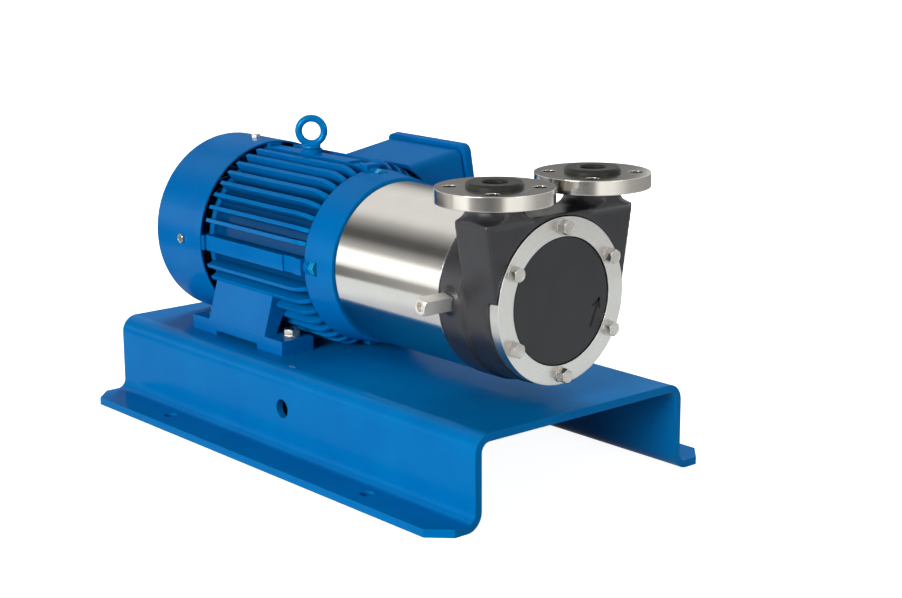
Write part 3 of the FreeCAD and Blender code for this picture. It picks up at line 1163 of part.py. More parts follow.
def port_liner(side):
    """The moulded tube in a nozzle, turned over at a round mouth into a raised face with a bevelled rim."""
    outer = PORT_R + PORT_LINER_WALL - SEAT_FIT
    face_top = FLANGE_TOP + PORT_FACE_HEIGHT
    points = [(PORT_R, PORT_BOTTOM), (outer, PORT_BOTTOM), (outer, FLANGE_TOP), (PORT_FACE_R, FLANGE_TOP),
              (PORT_FACE_R, face_top - PORT_FACE_CHAMFER), (PORT_FACE_R - PORT_FACE_CHAMFER, face_top),
              (PORT_R, face_top, PORT_MOUTH_R)]
    half = outline([(*point, 0)[:3] for point in points], lambda r, z: V(r, 0, z))
    liner = half.revolve(ORIGIN, UP, 360)
    liner.translate(V(side * NOZZLE_SPACING / 2, NOZZLE_Y, 0))
    return liner


def retaining_ring():
    plate = ring(RING_R, RING_BORE_R, RING_FACE, RING_SEAT)
    hole = rod_at(RING_BOLT_CIRCLE_R, 0, RING_BOLT_R + HOLE_CLEARANCE, RING_FACE - OVERCUT, RING_SEAT + OVERCUT)
    return plate.cut(all_round(hole, ring_bolt_angles()))


def front_cover():
    """A stepped disc that the ring clamps, with a seal groove and a blind socket for the shaft."""
    groove_front, groove_r = RING_SEAT + SEAL_FROM_SEAT, COVER_SPIGOT_R - SEAL_DEPTH
    groove_back = groove_front + SEAL_WIDTH
    socket_r = WET_SHAFT_R + SEAT_FIT
    return revolved([
        (0, COVER_FACE), (COVER_FACE_R - COVER_CHAMFER, COVER_FACE), (COVER_FACE_R, COVER_FACE + COVER_CHAMFER),
        (COVER_FACE_R, RING_SEAT), (COVER_SPIGOT_R, RING_SEAT), (COVER_SPIGOT_R, groove_front),
        (groove_r, groove_front), (groove_r, groove_back), (COVER_SPIGOT_R, groove_back),
        (COVER_SPIGOT_R, COVER_LINER_FRONT), (socket_r, COVER_LINER_FRONT), (socket_r, SHAFT_SOCKET_FLOOR),
        (0, SHAFT_SOCKET_FLOOR)])


def cover_seal():
    """The seal ring between the cover's groove and the casing's bore."""
    front = RING_SEAT + SEAL_FROM_SEAT
    return ring(CAVITY_R - SEAT_FIT, COVER_SPIGOT_R - SEAL_DEPTH, front + SEAT_FIT, front + SEAL_WIDTH - SEAT_FIT)


# Fasteners

def bolts_facing_front(thread_r, length, circle_r, face, angles):
    """Hex bolts along Y on a circle, with their heads on face and pointing to -Y."""
    bolt = aimed(hex_bolt(thread_r, length), V(circle_r, face, 0), V(0, -1, 0))
    return group(all_round(bolt, angles))


def washer(bolt_r, outer, thickness):
    return Part.makeCylinder(outer, thickness).cut(Part.makeCylinder(bolt_r + HOLE_CLEARANCE, thickness))


def foot_bolts():
    """Bolts from above through washer, foot and base into the nuts below."""
    washers = 2 * FOOT_WASHER_THICKNESS
    length = FOOT_PAD_HEIGHT + BASE_SHEET + washers + HEAD_HEIGHT * FOOT_BOLT_R + FOOT_BOLT_END
    top = FOOT_PAD_HEIGHT - SHAFT_HEIGHT + FOOT_WASHER_THICKNESS
    return group([aimed(hex_bolt(FOOT_BOLT_R, length), V(x, y, top), UP) for x, y in FOOT_BOLTS_XY])


def foot_washers():
    """Washers under the bolt heads and above the nuts."""
    plate = washer(FOOT_BOLT_R, 2 * FOOT_BOLT_R, FOOT_WASHER_THICKNESS)
    heights = (FOOT_PAD_HEIGHT - SHAFT_HEIGHT, -SHAFT_HEIGHT - BASE_SHEET - FOOT_WASHER_THICKNESS)
    return group([aimed(plate, V(x, y, z), UP) for x, y in FOOT_BOLTS_XY for z in heights])


def foot_nuts():
    nut = hex_head(FOOT_BOLT_R).cut(Part.makeCylinder(FOOT_BOLT_R, 2 * FOOT_BOLT_R))
    z = -SHAFT_HEIGHT - BASE_SHEET - FOOT_WASHER_THICKNESS
    return group([aimed(nut, V(x, y, z), V(0, 0, -1)) for x, y in FOOT_BOLTS_XY])


def ring_washers():
    plate = washer(RING_BOLT_R, RING_WASHER_R, RING_WASHER_THICKNESS)
    placed = aimed(plate, V(RING_BOLT_CIRCLE_R, RING_FACE, 0), V(0, -1, 0))
    return group(all_round(placed, ring_bolt_angles()))


def ring_bolts():
    return bolts_facing_front(RING_BOLT_R, RING_BOLT_LENGTH, RING_BOLT_CIRCLE_R, RING_HEAD_SEAT, ring_bolt_angles())


def end_shield_bolts():
    """Bolts through the shield's lugs and the frame's, with tails that stand free behind."""
    length = FRAME_FRONT + LUG_LENGTH + SHIELD_BOLT_TAIL - SHIELD_LUG_FACE
    return bolts_facing_front(SHIELD_BOLT_R, length, SHIELD_BOLT_CIRCLE_R, SHIELD_LUG_FACE, QUARTERS)


def lantern_bolts():
    """Bolts from inside the lantern, through its rear flange into the drive end shield."""
    return bolts_facing_front(LANTERN_BOLT_R, LANTERN_FLANGE + SHIELD_FLANGE, LANTERN_BOLT_CIRCLE_R,
                              LANTERN_BACK - LANTERN_FLANGE, even_angles(LANTERN_BOLTS, 45))


def casing_bolts():
    """Bolts from inside the lantern, through its front flange and the shell into the casing."""
    face = CASING_BACK + LANTERN_FLANGE
    bolt = aimed(hex_bolt(CASING_BOLT_R, face - CASING_BOLT_TIP), V(CASING_BOLT_CIRCLE_R, face, 0), ALONG_Y)
    return group(all_round(bolt, even_angles(CASING_BOLTS)))


def cowl_screws():
    screw = aimed(hex_bolt(COWL_SCREW_R, COWL_SCREW_LENGTH), V(COWL_R, COWL_SCREW_Y, 0), V(1, 0, 0))
    return group(all_round(screw, COWL_SCREW_ANGLES))


def fan_shield_bolts():
    bolt = hex_bolt(FAN_SHIELD_BOLT_R, FAN_SHIELD_PLATE + FAN_SHIELD_BOLT_DEPTH)
    placed = aimed(bolt, V(FRAME_WALL_MIDDLE_R, FAN_SHIELD_BACK, 0), ALONG_Y)
    return group(all_round(placed, even_angles(4, 45)))


# One file for each piece

def write_base_and_motor():
    save("baseplate", baseplate(), 0)
    for node, make in (("motor_frame", motor_frame), ("drive_end_shield", drive_end_shield),
                       ("fan_end_shield", fan_end_shield), ("fan_cowl", fan_cowl), ("cowl_screws", cowl_screws),
                       ("end_shield_bolts", end_shield_bolts), ("fan_shield_bolts", fan_shield_bolts),
                       ("eyebolt", eyebolt), ("stator_windings", windings), ("rotor_core", rotor_core),
                       ("motor_shaft", motor_shaft), ("cooling_fan", cooling_fan), ("fan_clip", fan_clip),
                       ("foot_bolts", foot_bolts), ("foot_washers", foot_washers), ("foot_nuts", foot_nuts)):
        save(node, make())
    save("stator_core", ring(FRAME_BORE_R - SEAT_FIT, ROTOR_R + AIR_GAP, CORE_FRONT, CORE_BACK))
    save("shaft_key", key_block(0))
    for name, front in (("drive", DRIVE_BEARING_FRONT), ("fan", FAN_BEARING_FRONT)):
        save(name + "_bearing_outer_ring", bearing_outer(front))
        save(name + "_bearing_inner_ring", bearing_inner(front))


def write_terminal_box():
    for node, make in (("terminal_box", box_shell), ("terminal_box_gasket", box_gasket),
                       ("terminal_box_lid", box_lid), ("lid_screws", lid_screws),
                       ("cable_gland", cable_gland), ("blanking_plug", blanking_plug),
                       ("terminal_board", terminal_board), ("terminal_studs", terminal_studs)):
        save(node, turned(make(), BOX_TILT))


def write_coupling():
    for node, make in (("lantern", lantern), ("lantern_bolts", lantern_bolts), ("casing_bolts", casing_bolts),
                       ("outer_magnet_carrier", outer_magnet_carrier), ("carrier_set_screw", carrier_set_screw),
                       ("containment_shell", containment_shell), ("inner_magnet_carrier", inner_magnet_carrier),
                       ("bearing_bushes", bearing_bushes), ("thrust_rings", thrust_rings)):
        save(node, make())
    save("outer_magnets", magnet_ring(OUTER_CUP_INNER_R - MAGNET_THICKNESS, OUTER_CUP_INNER_R - SEAT_FIT))
    pocket_r = INNER_DRUM_R - MAGNET_COVER
    save("inner_magnets", magnet_ring(pocket_r - MAGNET_THICKNESS + SEAT_FIT, pocket_r - SEAT_FIT))
    save("pump_shaft", rod(WET_SHAFT_R, SHAFT_SOCKET_FLOOR, SHELL_END - SHELL_SOCKET_FLOOR))


def write_wet_end():
    for node, make in (("pump_casing", pump_casing), ("casing_liner", casing_liner), ("cover_liner", cover_liner),
                       ("impeller", impeller), ("front_cover", front_cover), ("cover_seal", cover_seal),
                       ("retaining_ring", retaining_ring), ("ring_bolts", ring_bolts),
                       ("ring_washers", ring_washers), ("side_stub", side_stub)):
        save(node, make())
    for name, side in (("suction", -1), ("discharge", 1)):
        save(name + "_flange", loose_flange(side))
        save(name + "_port_liner", port_liner(side))


write_base_and_motor()
write_terminal_box()
write_coupling()
write_wet_end()
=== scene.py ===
import math

import bpy
from mathutils import Matrix, Vector


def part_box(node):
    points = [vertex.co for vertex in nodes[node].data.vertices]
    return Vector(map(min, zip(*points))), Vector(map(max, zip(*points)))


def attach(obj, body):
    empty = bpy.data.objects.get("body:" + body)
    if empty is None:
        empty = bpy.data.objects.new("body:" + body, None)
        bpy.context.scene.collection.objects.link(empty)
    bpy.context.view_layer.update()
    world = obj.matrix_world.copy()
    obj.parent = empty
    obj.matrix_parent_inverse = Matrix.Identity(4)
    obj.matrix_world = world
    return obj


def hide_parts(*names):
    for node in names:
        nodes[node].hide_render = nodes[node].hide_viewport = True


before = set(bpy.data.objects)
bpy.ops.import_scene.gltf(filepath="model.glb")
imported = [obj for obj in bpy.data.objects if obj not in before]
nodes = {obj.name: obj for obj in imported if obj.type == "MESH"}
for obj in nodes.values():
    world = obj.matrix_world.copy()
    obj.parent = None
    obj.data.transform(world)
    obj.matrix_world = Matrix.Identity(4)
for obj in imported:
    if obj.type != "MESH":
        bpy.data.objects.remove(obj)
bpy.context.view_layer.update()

# Studio: a white floor that runs into a white sky, lit by a large soft box low on the left, weaker ones in
# front and overhead, and one behind on the right that gloss doesn't show. Reflector sheets round the set,
# seen only in gloss, draw the bands in the bright metal.
CAMERA_PLACE = Vector((-1.22687, -1.54423, 0.61116))
CAMERA_AIM = Vector((0.02103, -0.08956, 0.15788))
CAMERA_ROLL = math.radians(-0.270)
LENS = 75.19
SKY_LIGHT = 0.14
FLOOR_LIGHT = 0.94
FLOOR_IN_GLOSS = 0.5
FLOOR_GREY = 0.60
SET_AIM = (0, 0, 0.15)
PUMP_AXIS_Z = 0.192

camera_data = bpy.data.cameras.new("camera")
camera_data.lens = LENS
camera_data.sensor_width = 36.0
camera_data.clip_start = 0.01
camera = bpy.data.objects.new("camera", camera_data)
bpy.context.scene.collection.objects.link(camera)
sight = (CAMERA_AIM - CAMERA_PLACE).to_track_quat("-Z", "Y").to_matrix().to_4x4()
camera.matrix_world = Matrix.Translation(CAMERA_PLACE) @ sight @ Matrix.Rotation(CAMERA_ROLL, 4, "Z")
bpy.context.scene.camera = camera
bpy.context.scene.view_settings.view_transform = "Standard"


def maths(tree, kind, *values):
    """One step of arithmetic on numbers or on the outputs of other nodes."""
    step = tree.nodes.new("ShaderNodeMath")
    step.operation = kind
    for socket, value in zip(step.inputs, values):
        if isinstance(value, (int, float)):
            socket.default_value = value
        else:
            tree.links.new(value, socket)
    return step.outputs[0]


def seen_rays(tree, in_gloss):
    """1 for rays from the camera, this share for rays in gloss and through glass, 0 for the light itself."""
    rays = tree.nodes.new("ShaderNodeLightPath").outputs
    gloss = maths(tree, "MAXIMUM", rays["Is Glossy Ray"], rays["Is Transmission Ray"])
    return maths(tree, "MAXIMUM", rays["Is Camera Ray"], maths(tree, "MULTIPLY", gloss, in_gloss))


sky = bpy.data.worlds.new("studio_sky")
bpy.context.scene.world = sky
sky.use_nodes = True
sky_tree = sky.node_tree
soft = sky_tree.nodes["Background"]
soft.inputs["Color"].default_value = (0.90, 0.95, 1.0, 1)
soft.inputs["Strength"].default_value = SKY_LIGHT
white = sky_tree.nodes.new("ShaderNodeBackground")
white.inputs["Color"].default_value = (1, 1, 1, 1)
white.inputs["Strength"].default_value = 1.0
choose = sky_tree.nodes.new("ShaderNodeMixShader")
sky_tree.links.new(seen_rays(sky_tree, 1.0), choose.inputs[0])
sky_tree.links.new(soft.outputs[0], choose.inputs[1])
sky_tree.links.new(white.outputs[0], choose.inputs[2])
sky_tree.links.new(choose.outputs[0], sky_tree.nodes["World Output"].inputs["Surface"])

bpy.ops.object.select_all(action="DESELECT")
bpy.ops.mesh.primitive_plane_add(size=12.0)
floor = bpy.context.object
floor.name = "studio_floor"
floor_finish = bpy.data.materials.new("white_floor")
floor_finish.use_nodes = True
floor_tree = floor_finish.node_tree
matt = floor_tree.nodes["Principled BSDF"]
matt.inputs["Base Color"].default_value = (FLOOR_GREY, FLOOR_GREY, FLOOR_GREY, 1)
matt.inputs["Roughness"].default_value = 1.0
matt.inputs["Specular IOR Level"].default_value = 0.0
floor_tree.links.new(seen_rays(floor_tree, FLOOR_IN_GLOSS), matt.inputs["Emission Strength"])
matt.inputs["Emission Color"].default_value = (FLOOR_LIGHT, FLOOR_LIGHT, FLOOR_LIGHT, 1)
floor.data.materials.append(floor_finish)


def soft_box(name, place, aim, width, height, watts, tint=(1, 1, 1)):
    """A lit rectangle that faces its aim."""
    lamp_data = bpy.data.lights.new(name, "AREA")
    lamp_data.shape = "RECTANGLE"
    lamp_data.size, lamp_data.size_y = width, height
    lamp_data.energy = watts
    lamp_data.color = tint
    lamp = bpy.data.objects.new(name, lamp_data)
    bpy.context.scene.collection.objects.link(lamp)
    turn = (Vector(aim) - Vector(place)).to_track_quat("-Z", "Y").to_matrix().to_4x4()
    lamp.matrix_world = Matrix.Translation(Vector(place)) @ turn
    return lamp


soft_box("key_box", (-2.6, -0.55, 0.88), SET_AIM, 1.6, 1.2, 69)
soft_box("front_box", (0.3, -2.8, 0.9), SET_AIM, 1.0, 1.2, 14)
soft_box("top_box", (0.2, 0.3, 2.4), SET_AIM, 1.0, 1.0, 3)
rear_box = soft_box("rear_box", (1.6, 1.3, 1.5), SET_AIM, 1.2, 1.2, 60, (0.88, 1.0, 0.98))
rear_box.visible_glossy = False


def reflector(name, place, turn, radius, length, bands, tint, gap=None):
    """An open tube round the set, seen only in gloss: bands give its brightness by angle in degrees,
    and between the two angles of a gap it has no sheet."""
    bpy.ops.mesh.primitive_cylinder_add(vertices=96, radius=radius, depth=length, end_fill_type="NOTHING",
                                        location=place, rotation=turn)
    sheet = bpy.context.object
    sheet.name = name
    if gap:
        bpy.ops.object.mode_set(mode="EDIT")
        bpy.ops.mesh.select_mode(type="FACE")
        bpy.ops.mesh.select_all(action="DESELECT")
        bpy.ops.object.mode_set(mode="OBJECT")
        for face in sheet.data.polygons:
            face.select = gap[0] < math.degrees(math.atan2(face.center.y, face.center.x)) < gap[1]
        bpy.ops.object.mode_set(mode="EDIT")
        bpy.ops.mesh.delete(type="FACE")
        bpy.ops.object.mode_set(mode="OBJECT")
    finish = bpy.data.materials.new(name)
    finish.use_nodes = True
    tree = finish.node_tree
    cloth = tree.nodes["Principled BSDF"]
    cloth.inputs["Base Color"].default_value = (0, 0, 0, 1)
    cloth.inputs["Specular IOR Level"].default_value = 0.0
    cloth.inputs["Emission Color"].default_value = (*tint, 1)
    split = tree.nodes.new("ShaderNodeSeparateXYZ")
    tree.links.new(tree.nodes.new("ShaderNodeTexCoord").outputs["Object"], split.inputs[0])
    angle = maths(tree, "DIVIDE", maths(tree, "ARCTAN2", split.outputs["Y"], split.outputs["X"]), 2 * math.pi)
    ramp = tree.nodes.new("ShaderNodeValToRGB")
    tree.links.new(maths(tree, "ADD", angle, 0.5), ramp.inputs[0])
    stops = ramp.color_ramp.elements
    stops.remove(stops[1])
    for degrees, light in bands:
        stop = stops.new(degrees / 360 + 0.5) if degrees > bands[0][0] else stops[0]
        stop.color = (light / 2, light / 2, light / 2, 1)
    tree.links.new(maths(tree, "MULTIPLY", ramp.outputs["Color"], 2.0), cloth.inputs["Emission Strength"])
    sheet.data.materials.append(finish)
    sheet.visible_camera = sheet.visible_diffuse = sheet.visible_shadow = False


WARM_WHITE = (1.0, 0.98, 0.95)
FENCE_RADIUS = 0.8
reflector("rear_arch", (0, 1.9, PUMP_AXIS_Z), (math.radians(90), 0, 0), 1.1, 2.6,
          [(-180, 1.7), (-172, 0.6), (-10, 0.3), (12, 0.2), (22, 0.22), (30, 0.4), (45, 0.8), (60, 1.0),
           (99, 1.05), (107, 0.95), (117, 0.55), (127, 0.26), (134, 0.12), (143, 0.12), (150, 0.4), (158, 0.7),
           (163, 1.8), (178, 1.8)], WARM_WHITE)
reflector("rear_fence", (0, 0, 0.07), (0, 0, 0), FENCE_RADIUS, 0.14, [(-180, 0.12), (130, 0.12), (152, 0.74)],
          WARM_WHITE, (-180, 60))
reflector("front_fence", (0, 0, 0.255), (0, 0, 0), FENCE_RADIUS, 0.21,
          [(-180, 1.7), (-165, 1.7), (-157, 0.5), (-147, 0.25), (-127, 0.2), (-116, 0.4), (-108, 1.5), (-90, 1.4),
           (-76, 0.9), (-66, 0.6), (-46, 0.5), (-5, 0.38), (15, 0.26), (35, 0.5), (60, 0.3), (160, 0.5),
           (168, 1.7)], WARM_WHITE, (60, 158))


def painted_shade_card(name, place, turn, radius):
    """A black disc of painted shade that only shows from its front; it stops the white set from showing through a
    hole.
    """
    bpy.ops.mesh.primitive_circle_add(vertices=64, radius=radius, fill_type="NGON", location=place, rotation=turn)
    card = bpy.context.object
    card.name = name
    finish = bpy.data.materials.new(name)
    finish.use_nodes = True
    tree = finish.node_tree
    shade_paint = tree.nodes["Principled BSDF"]
    shade_paint.inputs["Base Color"].default_value = (0.004, 0.004, 0.004, 1)
    shade_paint.inputs["Specular IOR Level"].default_value = 0.0
    behind = tree.nodes.new("ShaderNodeNewGeometry").outputs["Backfacing"]
    tree.links.new(maths(tree, "SUBTRACT", 1.0, behind), shade_paint.inputs["Alpha"])
    card.data.materials.append(finish)
    card.visible_shadow = False


# Painted shade: black discs behind the cowl and behind a hole, where the inside would lie in shade.
painted_shade_card("painted_shade_behind_cowl", (0, 0.2865, PUMP_AXIS_Z), (math.radians(90), 0, 0), 0.099)
painted_shade_card("painted_shade_behind_hole", (-0.128, 0.0096, 0.0457), (0, math.radians(-90), 0), 0.017)

# Baseplate: 8 mm steel sheet bent into a low bench, 617 mm long and 92 mm high, with two foot flanges
# whose corners are cut off. It is drilled for four foundation bolts, one lifting bar and the motor, then
# sprayed with a thick glossy blue enamel that flows smooth. Its edges are paler, partly where the enamel
# thins over them and partly as a painted highlight.
def new_finish(name, plain):
    """A finish with these plain numbers set on its shader."""
    finish = bpy.data.materials.new(name)
    finish.use_nodes = True
    shader = finish.node_tree.nodes["Principled BSDF"]
    for socket, value in plain.items():
        shader.inputs[socket].default_value = value
    return finish, finish.node_tree, shader


def on_piece(tree):
    """Places on the piece itself, in metres."""
    return tree.nodes.new("ShaderNodeTexCoord").outputs["Object"]


def grain(tree, size, detail=3.0, stretch=(1, 1, 1), over=None):
    """Noise with lumps of this size in metres, longer along an axis where stretch is small."""
    noise = tree.nodes.new("ShaderNodeTexNoise")
    noise.inputs["Scale"].default_value = 1.0 / size
    noise.inputs["Detail"].default_value = detail
    place = tree.nodes.new("ShaderNodeMapping")
    place.inputs["Scale"].default_value = stretch
    tree.links.new(over or on_piece(tree), place.inputs["Vector"])
    tree.links.new(place.outputs[0], noise.inputs["Vector"])
    return noise.outputs["Fac"]


def spread(tree, value, low, high, start=0.3, end=0.7):
    """The value from start to end, spread from low to high."""
    step = tree.nodes.new("ShaderNodeMapRange")
    for socket, number in zip(("From Min", "From Max", "To Min", "To Max"), (start, end, low, high)):
        step.inputs[socket].default_value = number
    tree.links.new(value, step.inputs["Value"])
    return step.outputs["Result"]


def blend_shades(tree, value, first, second):
    """A colour that goes from first to second with the value; either may be another blend."""
    mix = tree.nodes.new("ShaderNodeMix")
    mix.data_type = "RGBA"
    tree.links.new(value, mix.inputs["Factor"])
    for socket, shade in ((mix.inputs[6], first), (mix.inputs[7], second)):
        if isinstance(shade, tuple):
            socket.default_value = (*shade, 1)
        else:
            tree.links.new(shade, socket)
    return mix.outputs[2]


def rounded_edges(tree, radius):
    """The surface's direction with every sharp edge rounded over by this radius."""
    bevel = tree.nodes.new("ShaderNodeBevel")
    bevel.samples = 6
    bevel.inputs["Radius"].default_value = radius
    return bevel.outputs["Normal"]


def edge_share(tree, rounded, low=0.02, high=0.25):
    """1 on the edges themselves, where the rounded direction leaves the true one, and 0 elsewhere."""
    true = tree.nodes.new("ShaderNodeNewGeometry").outputs["True Normal"]
    dot = tree.nodes.new("ShaderNodeVectorMath")
    dot.operation = "DOT_PRODUCT"
    tree.links.new(rounded, dot.inputs[0])
    tree.links.new(true, dot.inputs[1])
    return spread(tree, dot.outputs["Value"], 0.0, 1.0, 1 - low, 1 - high)


def relief(tree, shader, rounded, layers):
    """Bumps on top of the rounded edges: each layer is a value and its height in metres."""
    normal = rounded
    for value, height in layers:
        bump = tree.nodes.new("ShaderNodeBump")
        bump.inputs["Strength"].default_value = 1.0
        bump.inputs["Distance"].default_value = height
        tree.links.new(value, bump.inputs["Height"])
        tree.links.new(normal, bump.inputs["Normal"])
        normal = bump.outputs["Normal"]
    tree.links.new(normal, shader.inputs["Normal"])


def dress(finish, *names):
    """Gives CAD pieces this finish all over."""
    for name in names:
        piece = nodes[name]
        piece.data.materials.clear()
        piece.data.materials.append(finish)


def blue_enamel(name, deep, light, thin_and_highlit, peel_size, peel_height, edge, gloss=(0.14, 0.008), painted_shade_in=None):
    """Blue enamel: cloudy by a trace, paler on edges where it thins and where a highlight is painted, and, where
    asked, darker with painted shade deep between fins. Its gloss goes from the first share seen square on to the
    second seen at a slant."""
    finish, tree, shader = new_finish(name, {"Specular Tint": (0.0, 0.6, 1.0, 1)})
    slant = tree.nodes.new("ShaderNodeLayerWeight").outputs["Facing"]
    tree.links.new(spread(tree, slant, gloss[0], gloss[1], 0.25, 0.6), shader.inputs["Specular IOR Level"])
    colour = blend_shades(tree, spread(tree, grain(tree, 0.06, 2), 0, 1), deep, light)
    rounded = rounded_edges(tree, edge)
    # Paler edges: partly thinner enamel and partly a painted highlight.
    colour = blend_shades(tree, edge_share(tree, rounded), colour, thin_and_highlit)
    # Painted shade, darkest at the foot of the fins, where it is asked for.
    if painted_shade_in:
        colour = blend_shades(tree, painted_shade_in(tree), colour, SHADED_BLUE)
    tree.links.new(colour, shader.inputs["Base Color"])
    tree.links.new(spread(tree, grain(tree, 0.05, 3), 0.12, 0.2), shader.inputs["Roughness"])
    relief(tree, shader, rounded, [(grain(tree, peel_size, 2), peel_height), (grain(tree, 0.0012, 2), 0.00001)])
    return finish


BASE_BLUE = (0.0, 0.150, 0.44)
BASE_LIGHT_BLUE = (0.0, 0.170, 0.47)
# The paler edge blue: thinner enamel and a painted highlight.
BASE_THIN_HIGHLIT_BLUE = (0.0, 0.26, 0.62)
dress(blue_enamel("base_enamel", BASE_BLUE, BASE_LIGHT_BLUE, BASE_THIN_HIGHLIT_BLUE, 0.006, 0.00003, 0.0012, (0.06, 0.03)),
      "baseplate")

# Motor frame and end shields: cast iron, shot-blasted and sprayed in the same blue over a finely lumpy
# skin. Forty-odd thin fins stand round the frame, with painted shade dark deep between them.
FIN_ROOT_R = 0.082
FIN_TIP_R = 0.096
DEEP_BLUE = (0.0, 0.130, 0.41)
LIGHT_BLUE = (0.0, 0.148, 0.44)
# The paler edge blue: thinner enamel and a painted highlight.
THIN_HIGHLIT_BLUE = (0.0, 0.23, 0.60)
# The colour of the painted shade deep between the fins.
SHADED_BLUE = (0.0, 0.010, 0.045)


def painted_fin_shade(tree):
    """The share of painted shade between the fins: 1 at their foot and 0 at their tips, by distance from the motor's
    axis.
    """
    split = tree.nodes.new("ShaderNodeSeparateXYZ")
    tree.links.new(on_piece(tree), split.inputs[0])
    up = maths(tree, "SUBTRACT", split.outputs["Z"], PUMP_AXIS_Z)
    across = maths(tree, "MULTIPLY", split.outputs["X"], split.outputs["X"])
    radius = maths(tree, "SQRT", maths(tree, "ADD", across, maths(tree, "MULTIPLY", up, up)))
    return spread(tree, radius, 0.82, 0.0, FIN_ROOT_R, FIN_TIP_R)


# The cast parts' paler edge blue: thinner enamel and a painted highlight.
CAST_THIN_HIGHLIT_BLUE = (0.0, 0.30, 0.66)
# The frame's enamel gets painted shade between its fins.
dress(blue_enamel("frame_enamel", DEEP_BLUE, LIGHT_BLUE, CAST_THIN_HIGHLIT_BLUE, 0.004, 0.00016, 0.0009,
                  painted_shade_in=painted_fin_shade), "motor_frame")
shield_enamel = blue_enamel("shield_enamel", DEEP_BLUE, LIGHT_BLUE, CAST_THIN_HIGHLIT_BLUE, 0.005, 0.00016, 0.0010)
dress(shield_enamel, "drive_end_shield", "fan_end_shield")


# End-shield bolts: four M8 hexagon bolts through the shield's lugs, painted over with the motor.
# The head is 13 mm across flats with a turned chamfer; the rolled thread shows behind the lug.
def stood(up, out, place):
    """Where a bolt goes: its head points up, one corner points out and its seat is at place."""
    up, out = Vector(up).normalized(), Vector(out).normalized()
    turn = Matrix((out, up.cross(out), up)).transposed().to_4x4()
    return Matrix.Translation(Vector(place)) @ turn


def sole_object(name):
    """The object that was just made, with this name on it and on its mesh."""
    piece = bpy.context.object
    piece.name = piece.data.name = name
    return piece


def hex_bolt(name, thread_r, length, pitch, height=None):
    """A bolt along Z whose head sits on the origin: hexagon, chamfer, raised end and grooved shank."""
    flats, height = 3.25 * thread_r, height or 1.3 * thread_r
    corner = flats / math.sqrt(3)
    chamfer = 0.06 * flats
    bpy.ops.mesh.primitive_cylinder_add(vertices=72, radius=corner, depth=height - chamfer,
                                        location=(0, 0, (height - chamfer) / 2))
    head = sole_object(name)
    bpy.ops.object.transform_apply(location=True, rotation=True, scale=True)
    bpy.ops.object.mode_set(mode="EDIT")
    bpy.ops.mesh.select_mode(type="FACE")
    bpy.ops.mesh.select_all(action="DESELECT")
    bpy.ops.object.mode_set(mode="OBJECT")
    top = max(head.data.polygons, key=lambda face: face.center.z)
    top.select = True
    bpy.ops.object.mode_set(mode="EDIT")
    for rise, share in ((chamfer, 0.84), (0.0, 0.80), (-chamfer * 0.3, 0.94)):
        bpy.ops.mesh.extrude_region_move(TRANSFORM_OT_translate={"value": (0, 0, rise)})
        bpy.ops.transform.resize(value=(share, share, 1), center_override=(0, 0, height))
    bpy.ops.object.mode_set(mode="OBJECT")
    bpy.ops.mesh.primitive_cylinder_add(vertices=6, radius=corner, depth=2 * height, location=(0, 0, height / 2),
                                        rotation=(0, 0, math.radians(30)))
    blank = bpy.context.object
    cut = head.modifiers.new("hexagon", "BOOLEAN")
    cut.operation, cut.solver, cut.object = "INTERSECT", "EXACT", blank
    bpy.context.view_layer.objects.active = head
    bpy.ops.object.modifier_apply(modifier=cut.name)
    bpy.data.objects.remove(blank)
    bpy.ops.object.select_all(action="DESELECT")
    bpy.ops.mesh.primitive_circle_add(vertices=24, radius=thread_r * 0.98, fill_type="NGON")
    shank = bpy.context.object
    bpy.ops.object.mode_set(mode="EDIT")
    bpy.ops.mesh.select_all(action="SELECT")
    turns = int(length * 0.8 / pitch)
    plain = length - turns * pitch
    steps = [(-plain, 1.0)] + [(-pitch / 2, 0.86), (-pitch / 2, 1 / 0.86)] * (turns - 1) + [(-pitch, 0.8)]
    for drop, share in steps:
        bpy.ops.mesh.extrude_region_move(TRANSFORM_OT_translate={"value": (0, 0, drop)})
        bpy.ops.transform.resize(value=(share, share, 1))
    bpy.ops.object.mode_set(mode="OBJECT")
    bpy.ops.object.select_all(action="DESELECT")
    head.select_set(True)
    shank.select_set(True)
    bpy.context.view_layer.objects.active = head
    bpy.ops.object.join()
    bpy.ops.object.shade_smooth_by_angle(angle=math.radians(28))
    return head


def placed_copies(pattern, places, name, node, finish):
    """Copies of a pattern at these places, joined to one piece that stands for the CAD node."""
    bpy.ops.object.select_all(action="DESELECT")
    for place in places:
        copy = pattern.copy()
        copy.data = pattern.data.copy()
        bpy.context.scene.collection.objects.link(copy)
        copy.matrix_world = place
        copy.select_set(True)
        bpy.context.view_layer.objects.active = copy
    bpy.data.objects.remove(pattern)
    bpy.ops.object.transform_apply(location=True, rotation=True, scale=True)
    bpy.ops.object.join()
    bpy.context.scene.cursor.location = (0, 0, 0)
    bpy.ops.object.origin_set(type="ORIGIN_CURSOR")
    piece = sole_object(name)
    piece.data.materials.clear()
    piece.data.materials.append(finish)
    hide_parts(node)
    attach(piece, "root")
    return piece


def round_axis(angles, radius, y, up):
    """Places on a circle round the pump's axis; up is the way the heads point, or None for outwards."""
    for degrees in angles:
        side = Vector((math.cos(math.radians(degrees)), 0, math.sin(math.radians(degrees))))
        place = side * radius + Vector((0, y, PUMP_AXIS_Z))
        yield stood(up, side, place) if up else stood(side, side.cross(Vector((0, 1, 0))), place)


SHIELD_BOLT_CIRCLE_R = 0.087
SHIELD_LUG_Y = 0.0055
SHIELD_HEAD = 0.0082
TO_FRONT = (0, -1, 0)
